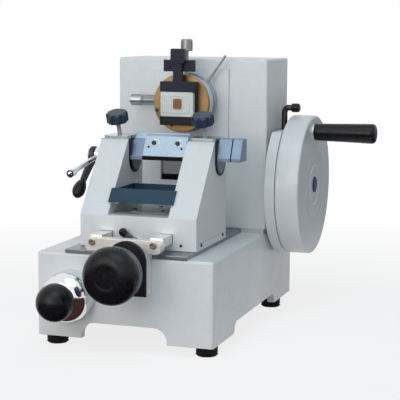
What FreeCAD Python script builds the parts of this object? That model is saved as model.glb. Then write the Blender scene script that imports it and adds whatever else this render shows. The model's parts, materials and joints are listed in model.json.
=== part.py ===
"""Rotary microtome: base, knife carriage, specimen column and handwheel, in millimetres.

Origin: middle of the base's footprint on the bench. X runs towards the handwheel, Y away from the
operator, Z up.
"""
import FreeCAD
import Part
import Sketcher
import math
import os

os.makedirs("parts", exist_ok=True)
document = FreeCAD.newDocument("RotaryMicrotome")

# Driving dimensions: name, value in millimetres, degrees or counts, and what it is
SIZES = (
    # Base casting
    ("base_width", 205.0, "base, left to right"),
    ("base_depth", 330.0, "base, front to back"),
    ("foot_height", 12.5, "height of the rubber feet under the legs"),
    ("base_top", 107.0, "top of the painted base above the bench"),
    ("base_wall", 9.0, "side walls of the hollow base"),
    ("base_deck", 12.0, "thickness of the base's top"),
    ("base_round", 3.0, "rounding of the casting's outer edges"),
    ("front_arch_width", 100.0, "arch between the front legs"),
    ("front_arch_rise", 18.0, "height of the front arch"),
    ("front_arch_corner", 15.0, "corner radius of the front arch"),
    ("side_arch_width", 172.0, "arch between a front leg and a rear leg"),
    ("side_arch_rise", 12.5, "height of the side arch"),
    ("side_arch_corner", 10.0, "corner radius of the side arch"),
    ("foot_radius", 12.3, "rubber foot"),
    ("foot_inset", 14.0, "feet, in from the base's sides"),
    ("foot_front", 22.0, "front feet, behind the front face"),
    ("foot_rear", 44.0, "rear feet, ahead of the rear face"),
    ("foot_taper", 1.2, "how much narrower a foot is at the bench"),
    ("foot_boss_height", 22.0, "solid corner over each foot"),
    ("foot_stud", 3.0, "radius of the stud moulded into a foot"),
    ("foot_stud_length", 9.0, "length of that stud"),
    ("foot_boss", 14.0, "radius of the solid corner"),
    ("foot_boss_inset", 3.0, "solid corner, inward of the foot"),
    ("foot_edge", 1.0, "rounded lower edge of a foot"),
    # Bed plate and dovetail
    ("bed_left", 69.0, "bed plate, left of the middle"),
    ("bed_right", 72.6, "bed plate, right of the middle"),
    ("bed_thickness", 4.2, "bed plate"),
    ("bed_chamfer", 0.8, "broken edge of the bed plate"),
    ("rail_width", 60.0, "dovetail rail across its top"),
    ("rail_height", 5.8, "dovetail rail above the bed plate"),
    ("rail_undercut", 4.0, "how far the rail's flanks lean in"),
    ("rail_front", 38.0, "rail's front end, behind the base front"),
    ("rail_rear", 143.0, "rail's rear end, behind the base front"),
    ("apron", 6.0, "solid front of the carriage ahead of its groove"),
    ("bed_short", 2.0, "bed plate's rear end, ahead of the column"),
    # Knife carriage
    ("carriage_x", 6.0, "middle plane of the knife carriage"),
    ("carriage_width", 136.0, "knife carriage, left to right"),
    ("carriage_front", 26.5, "carriage front, behind the base front, at rest"),
    ("carriage_depth", 107.5, "carriage, front to back"),
    ("carriage_block_top", 147.2, "top of the carriage's low block"),
    ("pillar_width", 32.5, "each pillar, left to right"),
    ("pillar_top", 226.0, "flat top of the pillars"),
    ("pillar_front_top", 222.4, "where the sloping front ends"),
    ("pillar_slope_run", 59.5, "how far the pillar's front leans back"),
    ("pillar_bevel", 3.8, "depth of the bevel at the pillar's top"),
    ("slide_gap", 0.4, "clearance of the sliding faces"),
    ("forward_travel", 16.0, "carriage travel towards the operator"),
    ("rearward_travel", 4.0, "carriage travel towards the specimen"),
    ("gib_depth", 4.0, "gib strip, sideways"),
    ("gib_height", 7.4, "gib strip, up"),
    ("gib_inset_front", 8.0, "gib's front end, behind the carriage front"),
    ("gib_inset_rear", 12.0, "gib's rear end, ahead of the carriage rear"),
    ("part_line", 0.3, "parting gap round fitted strips"),
    ("floor_slot_length", 17.0, "slots in the carriage floor"),
    ("floor_slot_width", 5.0, "slots in the carriage floor"),
    ("floor_slot_depth", 6.0, "slots in the carriage floor"),
    ("floor_slot_pitch", 27.0, "distance between the floor slots"),
    ("floor_slot_setback", 30.0, "floor slots, behind the carriage front"),
    # Seat liners and knife holder
    ("tilt_setback", 82.5, "knife tilt axis, behind the carriage front"),
    ("tilt_z", 204.5, "knife tilt axis above the bench"),
    ("liner_outer", 18.0, "outer radius of the U-shaped steel liners"),
    ("liner_inner", 15.1, "inner radius of the liners"),
    ("liner_proud", 1.5, "how far a liner stands out of its pillar"),
    ("cap_setback", 65.5, "cap plates, behind the carriage front"),
    ("cap_inset", 0.6, "cap plates, in from the pillar's sides"),
    ("fit", 0.05, "running fit of pins, shafts and pressed parts"),
    ("cap_thickness", 3.5, "cap plates on the pillars"),
    ("cap_depth", 34.0, "cap plates, front to back"),
    ("cap_round", 4.0, "rounded corners of the cap plates"),
    ("segment_radius", 15.0, "half-round ends of the knife holder"),
    ("segment_lip", 3.5, "start of the holder's sloping face above the axis"),
    ("segment_top", 20.0, "top of the half-round ends above the axis"),
    ("segment_front_top", 3.5, "front of that top, ahead of the axis"),
    ("segment_rear_top", 9.0, "rear of that top, behind the axis"),
    ("pivot_stub", 5.0, "lever spindle's stub in the holder"),
    ("pivot_depth", 12.0, "depth of that stub"),
    ("stub_length", 15.0, "holder's stub beyond the right pillar"),
    ("stub_groove", 1.3, "groove between stub and end block"),
    ("end_block_length", 10.7, "end block on the stub"),
    ("stub_front", 17.0, "stub's front face, ahead of the tilt axis"),
    ("stub_rear", 9.0, "stub's rear face, behind the tilt axis"),
    ("stub_bottom", 0.5, "stub's lower face, below the tilt axis"),
    ("stub_top", 24.3, "stub's upper face, above the tilt axis"),
    ("stub_top_front", 7.0, "front of the upper face, ahead of the axis"),
    ("neck_radius", 8.0, "neck in the groove of the stub"),
    ("neck_height", 11.0, "middle of that neck above the axis"),
    ("plate_lean", 29.0, "degrees that the pressure plate leans back"),
    ("plate_length", 29.0, "pressure plate along its slope"),
    ("plate_thickness", 3.0, "pressure plate"),
    ("plate_left", 19.0, "pressure plate, left of the carriage middle"),
    ("plate_right", 32.5, "pressure plate, right of the carriage middle"),
    ("plate_front", 18.6, "foot of the pressure plate, ahead of the axis"),
    ("plate_foot", 3.2, "foot of the pressure plate, above the axis"),
    ("plate_bevel", 4.0, "bevel at the pressure plate's edge"),
    ("plate_edge", 0.3, "thickness of that edge"),
    ("lip_front", 19.0, "bright lower lip, ahead of the axis"),
    ("lip_height", 3.6, "bright lower lip"),
    ("jaw_bottom", 1.6, "blade base's lower face, below the axis"),
    ("jaw_rear", 9.0, "blade base's rear face, behind the axis"),
    ("jaw_top_width", 1.6, "blade base's narrow top"),
    ("blade_thickness", 0.26, "disposable blade"),
    ("blade_width", 8.0, "disposable blade, edge to back"),
    ("blade_proud", 1.8, "blade edge beyond the pressure plate"),
    ("blade_bevel", 0.6, "ground edge of the blade"),
    ("blade_inset", 3.0, "blade's ends, in from the pillars"),
    ("plate_screw_radius", 2.6, "head of a plate screw"),
    ("plate_screw_height", 1.8, "head of a plate screw"),
    ("plate_screw_slot", 0.9, "slot in that head"),
    ("plate_screw_along", 16.3, "plate screws, up the slope"),
    ("plate_screw_left", -7.7, "left plate screw, from the carriage middle"),
    ("plate_screw_right", 20.8, "right plate screw, from the carriage middle"),
    ("square_turn", 90.0, "a right angle in degrees"),
    # Levers on the left of the knife holder
    ("pivot_radius", 6.0, "spindle that carries both levers"),
    ("pivot_collar", 10.0, "radius of the collar beside the pillar"),
    ("pivot_collar_length", 7.0, "length of that collar"),
    ("pivot_cap", 1.4, "head of the spindle"),
    ("pivot_cap_radius", 8.5, "head of the spindle"),
    ("hub_gap", 0.4, "side play between hubs"),
    ("clamp_hub_radius", 9.0, "silver lever's hub"),
    ("clamp_hub_length", 6.0, "silver lever's hub"),
    ("clamp_rod_radius", 2.9, "silver lever's rod"),
    ("clamp_rod_length", 84.0, "silver lever, axis to the ring end"),
    ("clamp_rod_drop", 9.3, "degrees that the silver lever points down"),
    ("clamp_end_radius", 4.4, "tube end of the silver lever"),
    ("clamp_end_length", 9.0, "tube end of the silver lever"),
    ("clamp_end_bore", 2.6, "bore of that end"),
    ("tilt_hub_radius", 10.0, "dark lever's hub"),
    ("tilt_hub_length", 6.0, "dark lever's hub"),
    ("tilt_arm_length", 43.0, "dark lever, axis to the grip"),
    ("tilt_arm_root", 13.0, "dark lever's width at the hub"),
    ("tilt_arm_tip", 8.0, "dark lever's width at the grip"),
    ("tilt_arm_thickness", 4.0, "dark lever"),
    ("tilt_arm_drop", 39.6, "degrees that the dark lever points down"),
    ("grip_length", 25.0, "egg-shaped grip"),
    ("grip_radius", 7.4, "egg-shaped grip"),
    ("grip_neck", 3.6, "grip's neck radius"),
    ("grip_pin", 2.4, "pin inside the grip"),
    ("grip_widest_share", 0.58, "where the grip is widest"),
    ("grip_rear_curve", 29.6, "curve behind that place"),
    ("grip_front_curve", 13.2, "curve ahead of it"),
    ("grip_nose", 4.6, "radius where the nose starts"),
    ("grip_nose_inset", 2.4, "length of the nose"),
    ("grip_nose_curve", 5.2, "curve of the nose"),
    # Star knobs
    ("star_lean", 21.0, "degrees that the clamp screws lean forward"),
    ("star_radius", 12.6, "star knob over its lobes"),
    ("star_waist", 10.2, "star knob between its lobes"),
    ("star_height", 12.0, "star knob"),
    ("star_lobes", 8.0, "lobes on a star knob"),
    ("star_notch", 2.4, "radius of the notch between two lobes"),
    ("star_crown", 1.6, "chamfer round the star knob's crown"),
    ("star_standoff", 16.9, "bare screw between cap plate and knob"),
    ("star_screw_radius", 2.5, "clamp screw"),
    ("star_screw_below", 4.2, "clamp screw below the cap plate's top"),
    ("star_setback", 11.3, "screw in the cap plate, behind its front edge"),
    # Section tray
    ("tray_gap", 0.6, "tray's side play between the pillars"),
    ("tray_bottom", 161.0, "underside of the tray"),
    ("tray_height", 13.0, "tray's walls"),
    ("tray_depth", 68.0, "tray, front to back"),
    ("tray_wall", 1.6, "sheet thickness of the tray"),
    ("tray_lip_wings", 2.6, "how far the front lip overlaps each pillar"),
    ("tray_lip_depth", 2.8, "front lip, front to back"),
    ("tray_lip_drop", 0.4, "front lip, below the tray's rim line"),
    ("tray_lip_gap", 0.8, "front lip, clear of the pillars' slope"),
    ("tray_lip_rise", 1.0, "front lip above the walls"),
    ("ledge_depth", 4.0, "ledges under the tray, sideways"),
    ("ledge_height", 3.6, "ledges under the tray"),
    ("ledge_length", 52.0, "ledges under the tray"),
    ("ledge_setback", 20.5, "ledges' front, behind the carriage front"),
    ("ledge_gap", 0.3, "tray above its ledges"),
    # Carriage lock lever
    ("lock_z", 118.0, "lock lever's pivot above the bench"),
    ("lock_x", 5.0, "lock lever's pivot, sideways"),
    ("lock_stud_depth", 5.0, "stud inside the carriage"),
    ("lock_boss_radius", 6.3, "boss behind the lock lever"),
    ("lock_boss_length", 2.5, "boss behind the lock lever"),
    ("lock_thickness", 7.0, "lock lever's hub, front to back"),
    ("lock_hub_radius", 6.4, "lock lever's hub"),
    ("lock_stud_radius", 3.5, "stud that carries the lock lever"),
    ("lock_length", 23.0, "lock lever, pivot to the tip"),
    ("lock_tip_length", 9.0, "black tip"),
    ("lock_tip_radius", 4.6, "black tip"),
    ("lock_angle", 139.0, "lock lever's direction from +X at rest"),
    ("lock_arm_root", 10.0, "lock lever's width at the hub"),
    ("lock_arm_end", 6.4, "lock lever's width at the tip"),
    # Front drive
    ("drive_x", 10.2, "lead screw, sideways"),
    ("drive_z", 97.0, "lead screw above the bench"),
    ("bracket_width", 45.0, "front bracket"),
    ("bracket_bottom", 67.8, "front bracket's underside above the bench"),
    ("bracket_depth", 15.0, "front bracket"),
    ("bracket_round", 2.0, "rounded edges of the bracket"),
    ("cover_thickness", 4.0, "black cover plate"),
    ("cover_half_width", 22.2, "black cover plate, half its width"),
    ("cover_top", 127.2, "top of the cover plate's arch"),
    ("cover_chamfer", 0.8, "broken front edge of the cover plate"),
    ("yoke_x", 4.5, "middle of the yoke bar"),
    ("yoke_length", 87.0, "yoke bar"),
    ("yoke_bottom", 114.0, "yoke bar's underside above the bench"),
    ("yoke_height", 14.0, "yoke bar"),
    ("yoke_depth", 12.0, "yoke bar"),
    ("yoke_corner", 5.0, "rounded ends of the yoke bar"),
    ("arm_bottom", 119.6, "arms' underside above the bench"),
    ("yoke_screw_z", 123.5, "yoke's screws above the bench"),
    ("yoke_head", 3.6, "screw head"),
    ("yoke_head_height", 2.0, "screw head"),
    ("yoke_shank", 2.0, "screw's shank"),
    ("hexagon_turn", 60.0, "degrees between the corners of a hexagon"),
    ("yoke_socket", 1.9, "hexagon socket, middle to corner"),
    ("arm_spread", 35.0, "yoke arms, each side of the bar's middle"),
    ("arm_width", 14.0, "yoke arms"),
    ("arm_height", 10.0, "yoke arms"),
    ("arm_length", 55.0, "yoke arms, behind the bar"),
    ("arm_clearance", 0.5, "slot round an arm"),
    ("arm_pocket", 45.5, "depth of the slots in the carriage"),
    ("screw_radius", 5.0, "lead screw and its nut's bore"),
    ("journal_radius", 4.0, "lead screw's rear journal"),
    ("screw_rear", 115.0, "lead screw's rear end, behind the base front"),
    ("nut_width", 16.0, "feed nut"),
    ("nut_length", 16.0, "feed nut, along the screw"),
    ("nut_setback", 90.0, "middle of the nut, behind the base front"),
    ("nut_below", 10.5, "nut below the screw's axis"),
    ("thread_play", 0.1, "play between screw and nut"),
    ("screw_slot", 24.0, "slot in the base's deck for the screw"),
    ("nut_slot", 19.0, "slot in the bed plate for the nut"),
    ("rear_boss_length", 10.0, "boss that holds the screw's rear end"),
    ("rear_boss_drop", 13.0, "that boss below the screw's axis"),
    ("front_bore", 6.5, "hole in the base's front wall round the screw"),
    # Big front knob
    ("knob_radius", 31.0, "drive knob at its widest"),
    ("knob_widest", 61.0, "widest circle, ahead of the base front"),
    ("knob_crown", 16.0, "dome ahead of the widest circle"),
    ("knob_nose", 11.0, "radius of the dome's flat centre"),
    ("knob_step_radius", 28.3, "stepped ring behind the dome"),
    ("knob_dome", 17.0, "curve of the dome's side"),
    ("knob_rim_radius", 29.5, "rear edge of the dome"),
    ("knob_rim_curve", 17.2, "curve of the dome's rim"),
    ("knob_cone", 6.0, "cone behind the ring"),
    ("knob_neck_radius", 10.0, "hub where it meets the cover plate"),
    ("knob_step", 7.0, "dome's rim behind the widest circle"),
    ("knob_ring", 7.0, "length of the stepped ring"),
    ("knob_hub_radius", 12.0, "knob's metal hub"),
    ("knob_hub_length", 6.0, "knob's metal hub"),
    ("knob_bore_end", 6.0, "solid dome ahead of the screw's end"),
    ("knob_gap", 0.4, "gap between hub and cover plate"),
    # Thickness setting
    ("dial_x", 62.0, "dial, left of the middle"),
    ("dial_z", 60.0, "dial above the bench"),
    ("dial_radius", 28.6, "chrome bell"),
    ("dial_skirt", 10.5, "straight skirt of the bell"),
    ("dial_dome", 20.0, "dome of the bell ahead of its skirt"),
    ("dial_neck", 11.0, "radius of the bell's front"),
    ("dial_curve", 20.3, "curve of the bell"),
    ("dial_gap", 0.5, "gap between bell and base"),
    ("ball_radius", 20.8, "black ball knob"),
    ("ball_ahead", 42.5, "middle of the ball, ahead of the base front"),
    ("spindle_radius", 6.0, "thickness spindle"),
    ("spindle_rear", 52.0, "spindle's rear end, behind the base front"),
    ("spindle_boss_radius", 13.0, "boss round the spindle inside the base"),
    ("spindle_boss_length", 18.0, "length of that boss"),
    ("cam_radius", 17.0, "thickness cam"),
    ("cam_offset", 4.0, "cam's middle above the spindle"),
    ("cam_thickness", 8.0, "thickness cam"),
    # Column
    ("column_width", 189.0, "column cover"),
    ("column_front", 203.0, "column's front face, behind the base front"),
    ("column_depth", 97.0, "column cover, front to back"),
    ("column_top", 316.2, "top of the column above the bench"),
    ("column_wall", 4.0, "wall of the column cover"),
    ("column_round", 2.4, "rounded edges of the column cover"),
    ("plinth_height", 5.0, "recessed plinth under the column"),
    ("plinth_inset", 3.0, "plinth behind the column's faces"),
    ("frame_slab", 4.0, "foot slab of the inner frame"),
    ("opening_width", 80.0, "front opening"),
    ("opening_bottom", 167.0, "front opening's lower edge above the bench"),
    ("opening_top", 299.0, "front opening's upper edge above the bench"),
    # Vertical slide
    ("slide_bottom", 174.0, "slide's lower edge at rest"),
    ("slide_top", 306.0, "slide's upper edge at rest"),
    ("slide_thickness", 14.4, "slide, front to back"),
    ("slide_recess", 4.6, "slide's front, behind the column's face"),
    ("side_play", 0.3, "slide's play in its guides"),
    ("tongue", 4.3, "tongues on the slide's sides"),
    ("tongue_depth", 5.0, "tongues, front to back"),
    ("guide_width", 14.0, "guide uprights, sideways"),
    ("guide_top", 309.0, "top of the guide uprights"),
    ("guide_bridge", 3.0, "bridge over the uprights"),
    ("face_plate_width", 95.0, "slide's front cover plate"),
    ("face_plate_bottom", 200.0, "cover plate's lower edge at rest"),
    ("face_plate_top", 304.0, "cover plate's upper edge at rest"),
    ("face_plate_thickness", 3.0, "cover plate"),
    ("face_plate_gap", 0.4, "cover plate ahead of the column's face"),
    ("spacer_radius", 4.0, "spacers behind the cover plate"),
    ("spacer_inset", 4.0, "spacers from the edges of the opening"),
    ("spacer_drop", 7.0, "upper spacers below the opening's top"),
    ("spacer_pitch", 64.0, "upper spacers above the lower ones"),
    # Specimen feed
    ("head_z", 264.0, "specimen axis above the bench at rest"),
    ("quill_radius", 32.8, "white feed quill"),
    ("quill_front", 28.5, "quill's front, ahead of the column's face"),
    ("quill_rear", 37.0, "quill's rear, behind the column's face"),
    ("quill_wall", 7.0, "quill's rear wall"),
    ("quill_bore", 26.0, "quill's rear bore"),
    ("quill_round", 1.6, "rounded front edge of the quill"),
    ("socket_radius", 16.0, "socket in the quill's front"),
    ("feed_screw_radius", 5.0, "feed screw"),
    ("feed_screw_rear", 80.0, "feed screw's end, behind the column's face"),
    ("bridge_front", 46.5, "feed bridge, behind the column's face"),
    ("bridge_thickness", 5.0, "feed bridge"),
    ("bridge_half_height", 17.0, "feed bridge, each way from the axis"),
    ("bridge_arm", 4.8, "arms between slide and bridge"),
    ("nut_sleeve_radius", 9.0, "ratchet nut's sleeve"),
    ("ratchet_radius", 30.0, "ratchet wheel"),
    ("ratchet_thickness", 6.0, "ratchet wheel"),
    ("ratchet_teeth", 40.0, "teeth of the ratchet wheel"),
    ("ratchet_tooth_depth", 2.6, "teeth of the ratchet wheel"),
    ("ratchet_gullet", 4.2, "gap between two teeth"),
    # Specimen head
    ("ball_joint_radius", 11.0, "ball of the orientation joint"),
    ("ball_joint_ahead", 20.0, "ball's middle, ahead of the column's face"),
    ("ball_gap", 0.3, "clearance of the ball in its cups"),
    ("disc_radius", 34.5, "brass disc"),
    ("disc_thickness", 6.0, "brass disc"),
    ("disc_ahead", 39.5, "brass disc's front, ahead of the column's face"),
    ("cup_radius", 10.0, "cup behind the brass disc"),
    ("cup_short", 7.0, "cup's mouth, ahead of the ball's middle"),
    ("gimbal_radius", 15.0, "ring round the ball"),
    ("gimbal_length", 8.0, "ring round the ball"),
    ("stud_collar", 3.0, "collar on the ball's stem"),
    ("stud_collar_radius", 9.0, "collar on the ball's stem"),
    ("disc_chamfer", 0.8, "broken edge of the brass disc"),
    ("clamp_width", 42.0, "black cassette clamp"),
    ("clamp_bottom", 25.2, "clamp's lower face, below the axis"),
    ("clamp_top", 26.0, "clamp's upper face, above the axis"),
    ("clamp_ahead", 55.2, "clamp's front, ahead of the column's face"),
    ("jaw_thickness", 10.4, "lower jaw, up"),
    ("cassette_width", 40.0, "cassette"),
    ("cassette_height", 28.6, "cassette"),
    ("cassette_thickness", 6.4, "cassette"),
    ("cassette_corner", 1.6, "rounded corners of the cassette"),
    ("back_plate_short", 0.6, "clamp's back plate, below the cassette's top"),
    ("hinge_setback", 11.2, "jaw hinge, behind the clamp's front"),
    ("hinge_above", 5.7, "jaw hinge above the cassette"),
    ("lug_radius", 3.0, "hinge lug"),
    ("lug_width", 14.0, "hinge lug"),
    ("notch_room", 1.5, "room ahead of the lug"),
    ("jaw_behind", 2.6, "jaw's rear face, behind its hinge"),
    ("wax_width", 10.0, "tissue block"),
    ("wax_height", 11.5, "tissue block"),
    ("wax_proud", 1.6, "tissue block in front of the cassette"),
    ("wax_corner", 1.5, "rounded corners of the tissue block"),
    ("wax_side", 1.0, "tissue block, right of the axis"),
    ("wax_rise", 0.2, "tissue block above the axis"),
    ("jaw_gap", 0.35, "gap between jaw and clamp"),
    ("jaw_pin", 1.6, "hinge pin of the upper jaw"),
    ("jaw_bar_width", 10.6, "upright bar on the jaw"),
    ("jaw_bar_depth", 7.0, "upright bar, front to back"),
    ("jaw_bar_setback", 1.2, "bar behind the clamp's front"),
    ("jaw_bar_top", 49.0, "upright bar's top above the axis"),
    ("jaw_block_width", 16.4, "finger block on the bar"),
    ("jaw_block_bottom", 47.6, "finger block's underside above the axis"),
    ("jaw_block_top", 64.4, "finger block's top above the axis"),
    ("block_proud", 0.8, "finger block ahead of the bar"),
    ("block_round", 1.6, "rounded top of the finger block"),
    ("cross_width", 38.0, "crosspiece behind the bar"),
    ("cross_bottom", 37.6, "crosspiece's underside above the axis"),
    ("cross_height", 13.6, "crosspiece"),
    ("cross_depth", 4.0, "crosspiece, front to back"),
    ("tilt_screw_radius", 2.4, "upright orientation screw"),
    ("tilt_knob_radius", 6.6, "its knurled head"),
    ("tilt_knob_length", 14.4, "its knurled head"),
    ("tilt_knob_top", 75.4, "top of that head above the axis"),
    ("swivel_screw_radius", 3.0, "level orientation screw"),
    ("swivel_rise", 1.5, "level screw above the axis"),
    ("swivel_knob_radius", 6.2, "its knurled head"),
    ("swivel_knob_length", 15.0, "its knurled head"),
    ("swivel_knob_end", 71.0, "end of that head, left of the axis"),
    ("knob_edge", 0.8, "broken edges of knurled heads"),
    ("ring_outer", 35.6, "orientation lock ring"),
    ("ring_ahead", 16.0, "lock ring's front, ahead of the column's face"),
    ("ring_length", 4.0, "lock ring"),
    ("rod_radius", 1.6, "lock rod"),
    ("rod_offset", 5.9, "rod beside the ring's middle"),
    ("rod_boss", 2.2, "boss at the rod's foot"),
    ("ring_skin", 0.8, "ring left under the rod"),
    ("rod_end_share", 0.8, "rounding of the rod's end, of its radius"),
    ("rod_length", 40.0, "lock rod"),
    ("rod_lean", 35.0, "degrees above level that the rod points"),
    # Handwheel side
    ("wheel_setback", 262.7, "wheel axis, behind the base front"),
    ("wheel_z", 162.1, "wheel axis above the bench"),
    ("wheel_radius", 85.1, "handwheel and brake drum"),
    ("drum_neck", 55.0, "neck between column and drum"),
    ("drum_neck_length", 4.4, "that neck"),
    ("drum_length", 12.4, "brake drum"),
    ("drum_flat", 67.4, "drum's flat top above the axis"),
    ("drum_bore", 12.0, "bore round the shaft"),
    ("drum_round", 1.0, "broken edge of the drum"),
    ("wheel_gap", 0.4, "gap between drum and wheel"),
    ("wheel_length", 28.4, "handwheel, along its axis"),
    ("rim_thickness", 12.0, "handwheel's rim"),
    ("web_thickness", 11.0, "handwheel's web"),
    ("hub_radius", 20.0, "handwheel's hub"),
    ("wheel_round", 2.6, "rounded rim edges"),
    ("groove_radius", 43.0, "ring groove on the wheel's face"),
    ("groove_width", 2.4, "ring groove"),
    ("groove_depth", 0.9, "ring groove"),
    ("cap_radius", 9.8, "hub cap"),
    ("hub_cap_thickness", 1.5, "hub cap"),
    ("shaft_radius", 10.0, "main shaft"),
    ("shaft_short", 2.0, "shaft's end short of the wheel's face"),
    ("pedestal_length", 24.0, "bearing pedestal, along the shaft"),
    ("pedestal_depth", 44.0, "bearing pedestal, front to back"),
    ("pedestal_above", 22.0, "pedestal above the shaft's axis"),
    ("pedestal_gap", 0.5, "pedestal inside the column's wall"),
    ("pedestal_corner", 12.0, "rounded shoulders of the pedestal"),
    ("throw", 27.0, "crank pin from the shaft's axis"),
    ("crank_radius", 32.4, "crank disc"),
    ("crank_thickness", 6.0, "crank disc"),
    ("crank_gap", 4.0, "crank disc ahead of the pedestal"),
    ("crank_pin_radius", 3.0, "crank pin"),
    ("roller_radius", 5.5, "crank roller"),
    ("roller_length", 6.4, "crank roller"),
    ("roller_gap", 0.3, "roller beside disc and yoke"),
    ("fork_thickness", 6.0, "crank yoke, along the shaft"),
    ("fork_bar", 8.0, "crank yoke's bars"),
    ("fork_clear", 0.3, "slot of the yoke round the roller"),
    ("fork_front", 20.5, "yoke's front end, behind the column's face"),
    ("fork_rear", 92.0, "yoke's rear end, behind the column's face"),
    ("handle_ahead", 11.7, "handle ahead of the wheel axis"),
    ("handle_above", 65.9, "handle above the wheel axis"),
    ("handle_seat", 9.0, "spindle's seat in the web"),
    ("handle_spindle", 5.0, "handle's spindle radius"),
    ("handle_collar", 9.0, "light collar at the handle's foot"),
    ("handle_collar_length", 2.2, "that collar"),
    ("handle_start", 10.3, "grip's radius near the wheel"),
    ("handle_end", 12.0, "grip's radius at its end"),
    ("handle_length", 75.0, "grip"),
    ("handle_dome", 5.0, "rounding of the grip's end"),
    ("handle_tip", 6.0, "solid end of the grip beyond the spindle"),
    ("brake_x", 4.2, "brake lever, into the drum from its inner side"),
    ("brake_setback", 8.0, "brake lever, ahead of the wheel axis"),
    ("brake_rod_radius", 3.6, "brake lever's upright"),
    ("brake_depth", 24.0, "brake spindle below the drum's flat"),
    ("brake_height", 27.0, "brake lever's bend above the drum's flat"),
    ("brake_reach", 9.0, "brake lever's level arm"),
    ("brake_bend", 5.4, "bend of the lever's rod"),
    ("brake_knob_radius", 5.4, "brake lever's knob"),
    ("brake_knob_length", 10.0, "brake lever's knob"),
    ("overrun", 1.0, "how far a cutting tool runs past"),
)


class Measure:
    """A number with the spreadsheet formula that gives it, so that both can be added and scaled."""

    def __init__(self, number, formula):
        self.number = number
        self.formula = formula

    def __add__(self, other):
        other = measure(other)
        return Measure(self.number + other.number, f"({self.formula} + {other.formula})")

    def __sub__(self, other):
        other = measure(other)
        return Measure(self.number - other.number, f"({self.formula} - {other.formula})")

    def __mul__(self, other):
        other = measure(other)
        return Measure(self.number * other.number, f"({self.formula} * {other.formula})")

    def __truediv__(self, other):
        other = measure(other)
        return Measure(self.number / other.number, f"({self.formula} / {other.formula})")

    def __neg__(self):
        return Measure(-self.number, f"(-1 * {self.formula})")

    __radd__ = __add__

    def __rmul__(self, other):
        return measure(other) * self

    def __rsub__(self, other):
        return measure(other) - self


def measure(value):
    """A plain number or a Measure, as a Measure."""
    return value if isinstance(value, Measure) else Measure(float(value), repr(float(value)))


def cosine(angle):
    return Measure(math.cos(math.radians(angle.number)), f"cos({angle.formula})")


def sine(angle):
    return Measure(math.sin(math.radians(angle.number)), f"sin({angle.formula})")


def root(value):
    return Measure(math.sqrt(value.number), f"sqrt({value.formula})")


def write_sheet():
    """Put the driving dimensions in the spreadsheet and return them by name."""
    sheet = document.addObject("Spreadsheet::Sheet", "Sizes")
    for row, (name, value, meaning) in enumerate(SIZES, start=1):
        sheet.set(f"A{row}", meaning)
        sheet.set(f"B{row}", repr(value))
        sheet.setAlias(f"B{row}", name)
    document.recompute()
    return {name: Measure(float(sheet.get(name)), f"Sizes.{name}") for name, _, _ in SIZES}


class Sizes:
    """The driving dimensions, read as attributes."""

    def __init__(self, table):
        self.__dict__.update(table)


at = Sizes(write_sheet())
ZERO = measure(0)

# Each plane's role, how its sketch directions lie, and the sign of its normal
PLANES = {"Z": "XY_Plane", "Y": "XZ_Plane", "X": "YZ_Plane"}
NORMAL_SIGN = {"Z": 1, "Y": -1, "X": 1}


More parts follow.
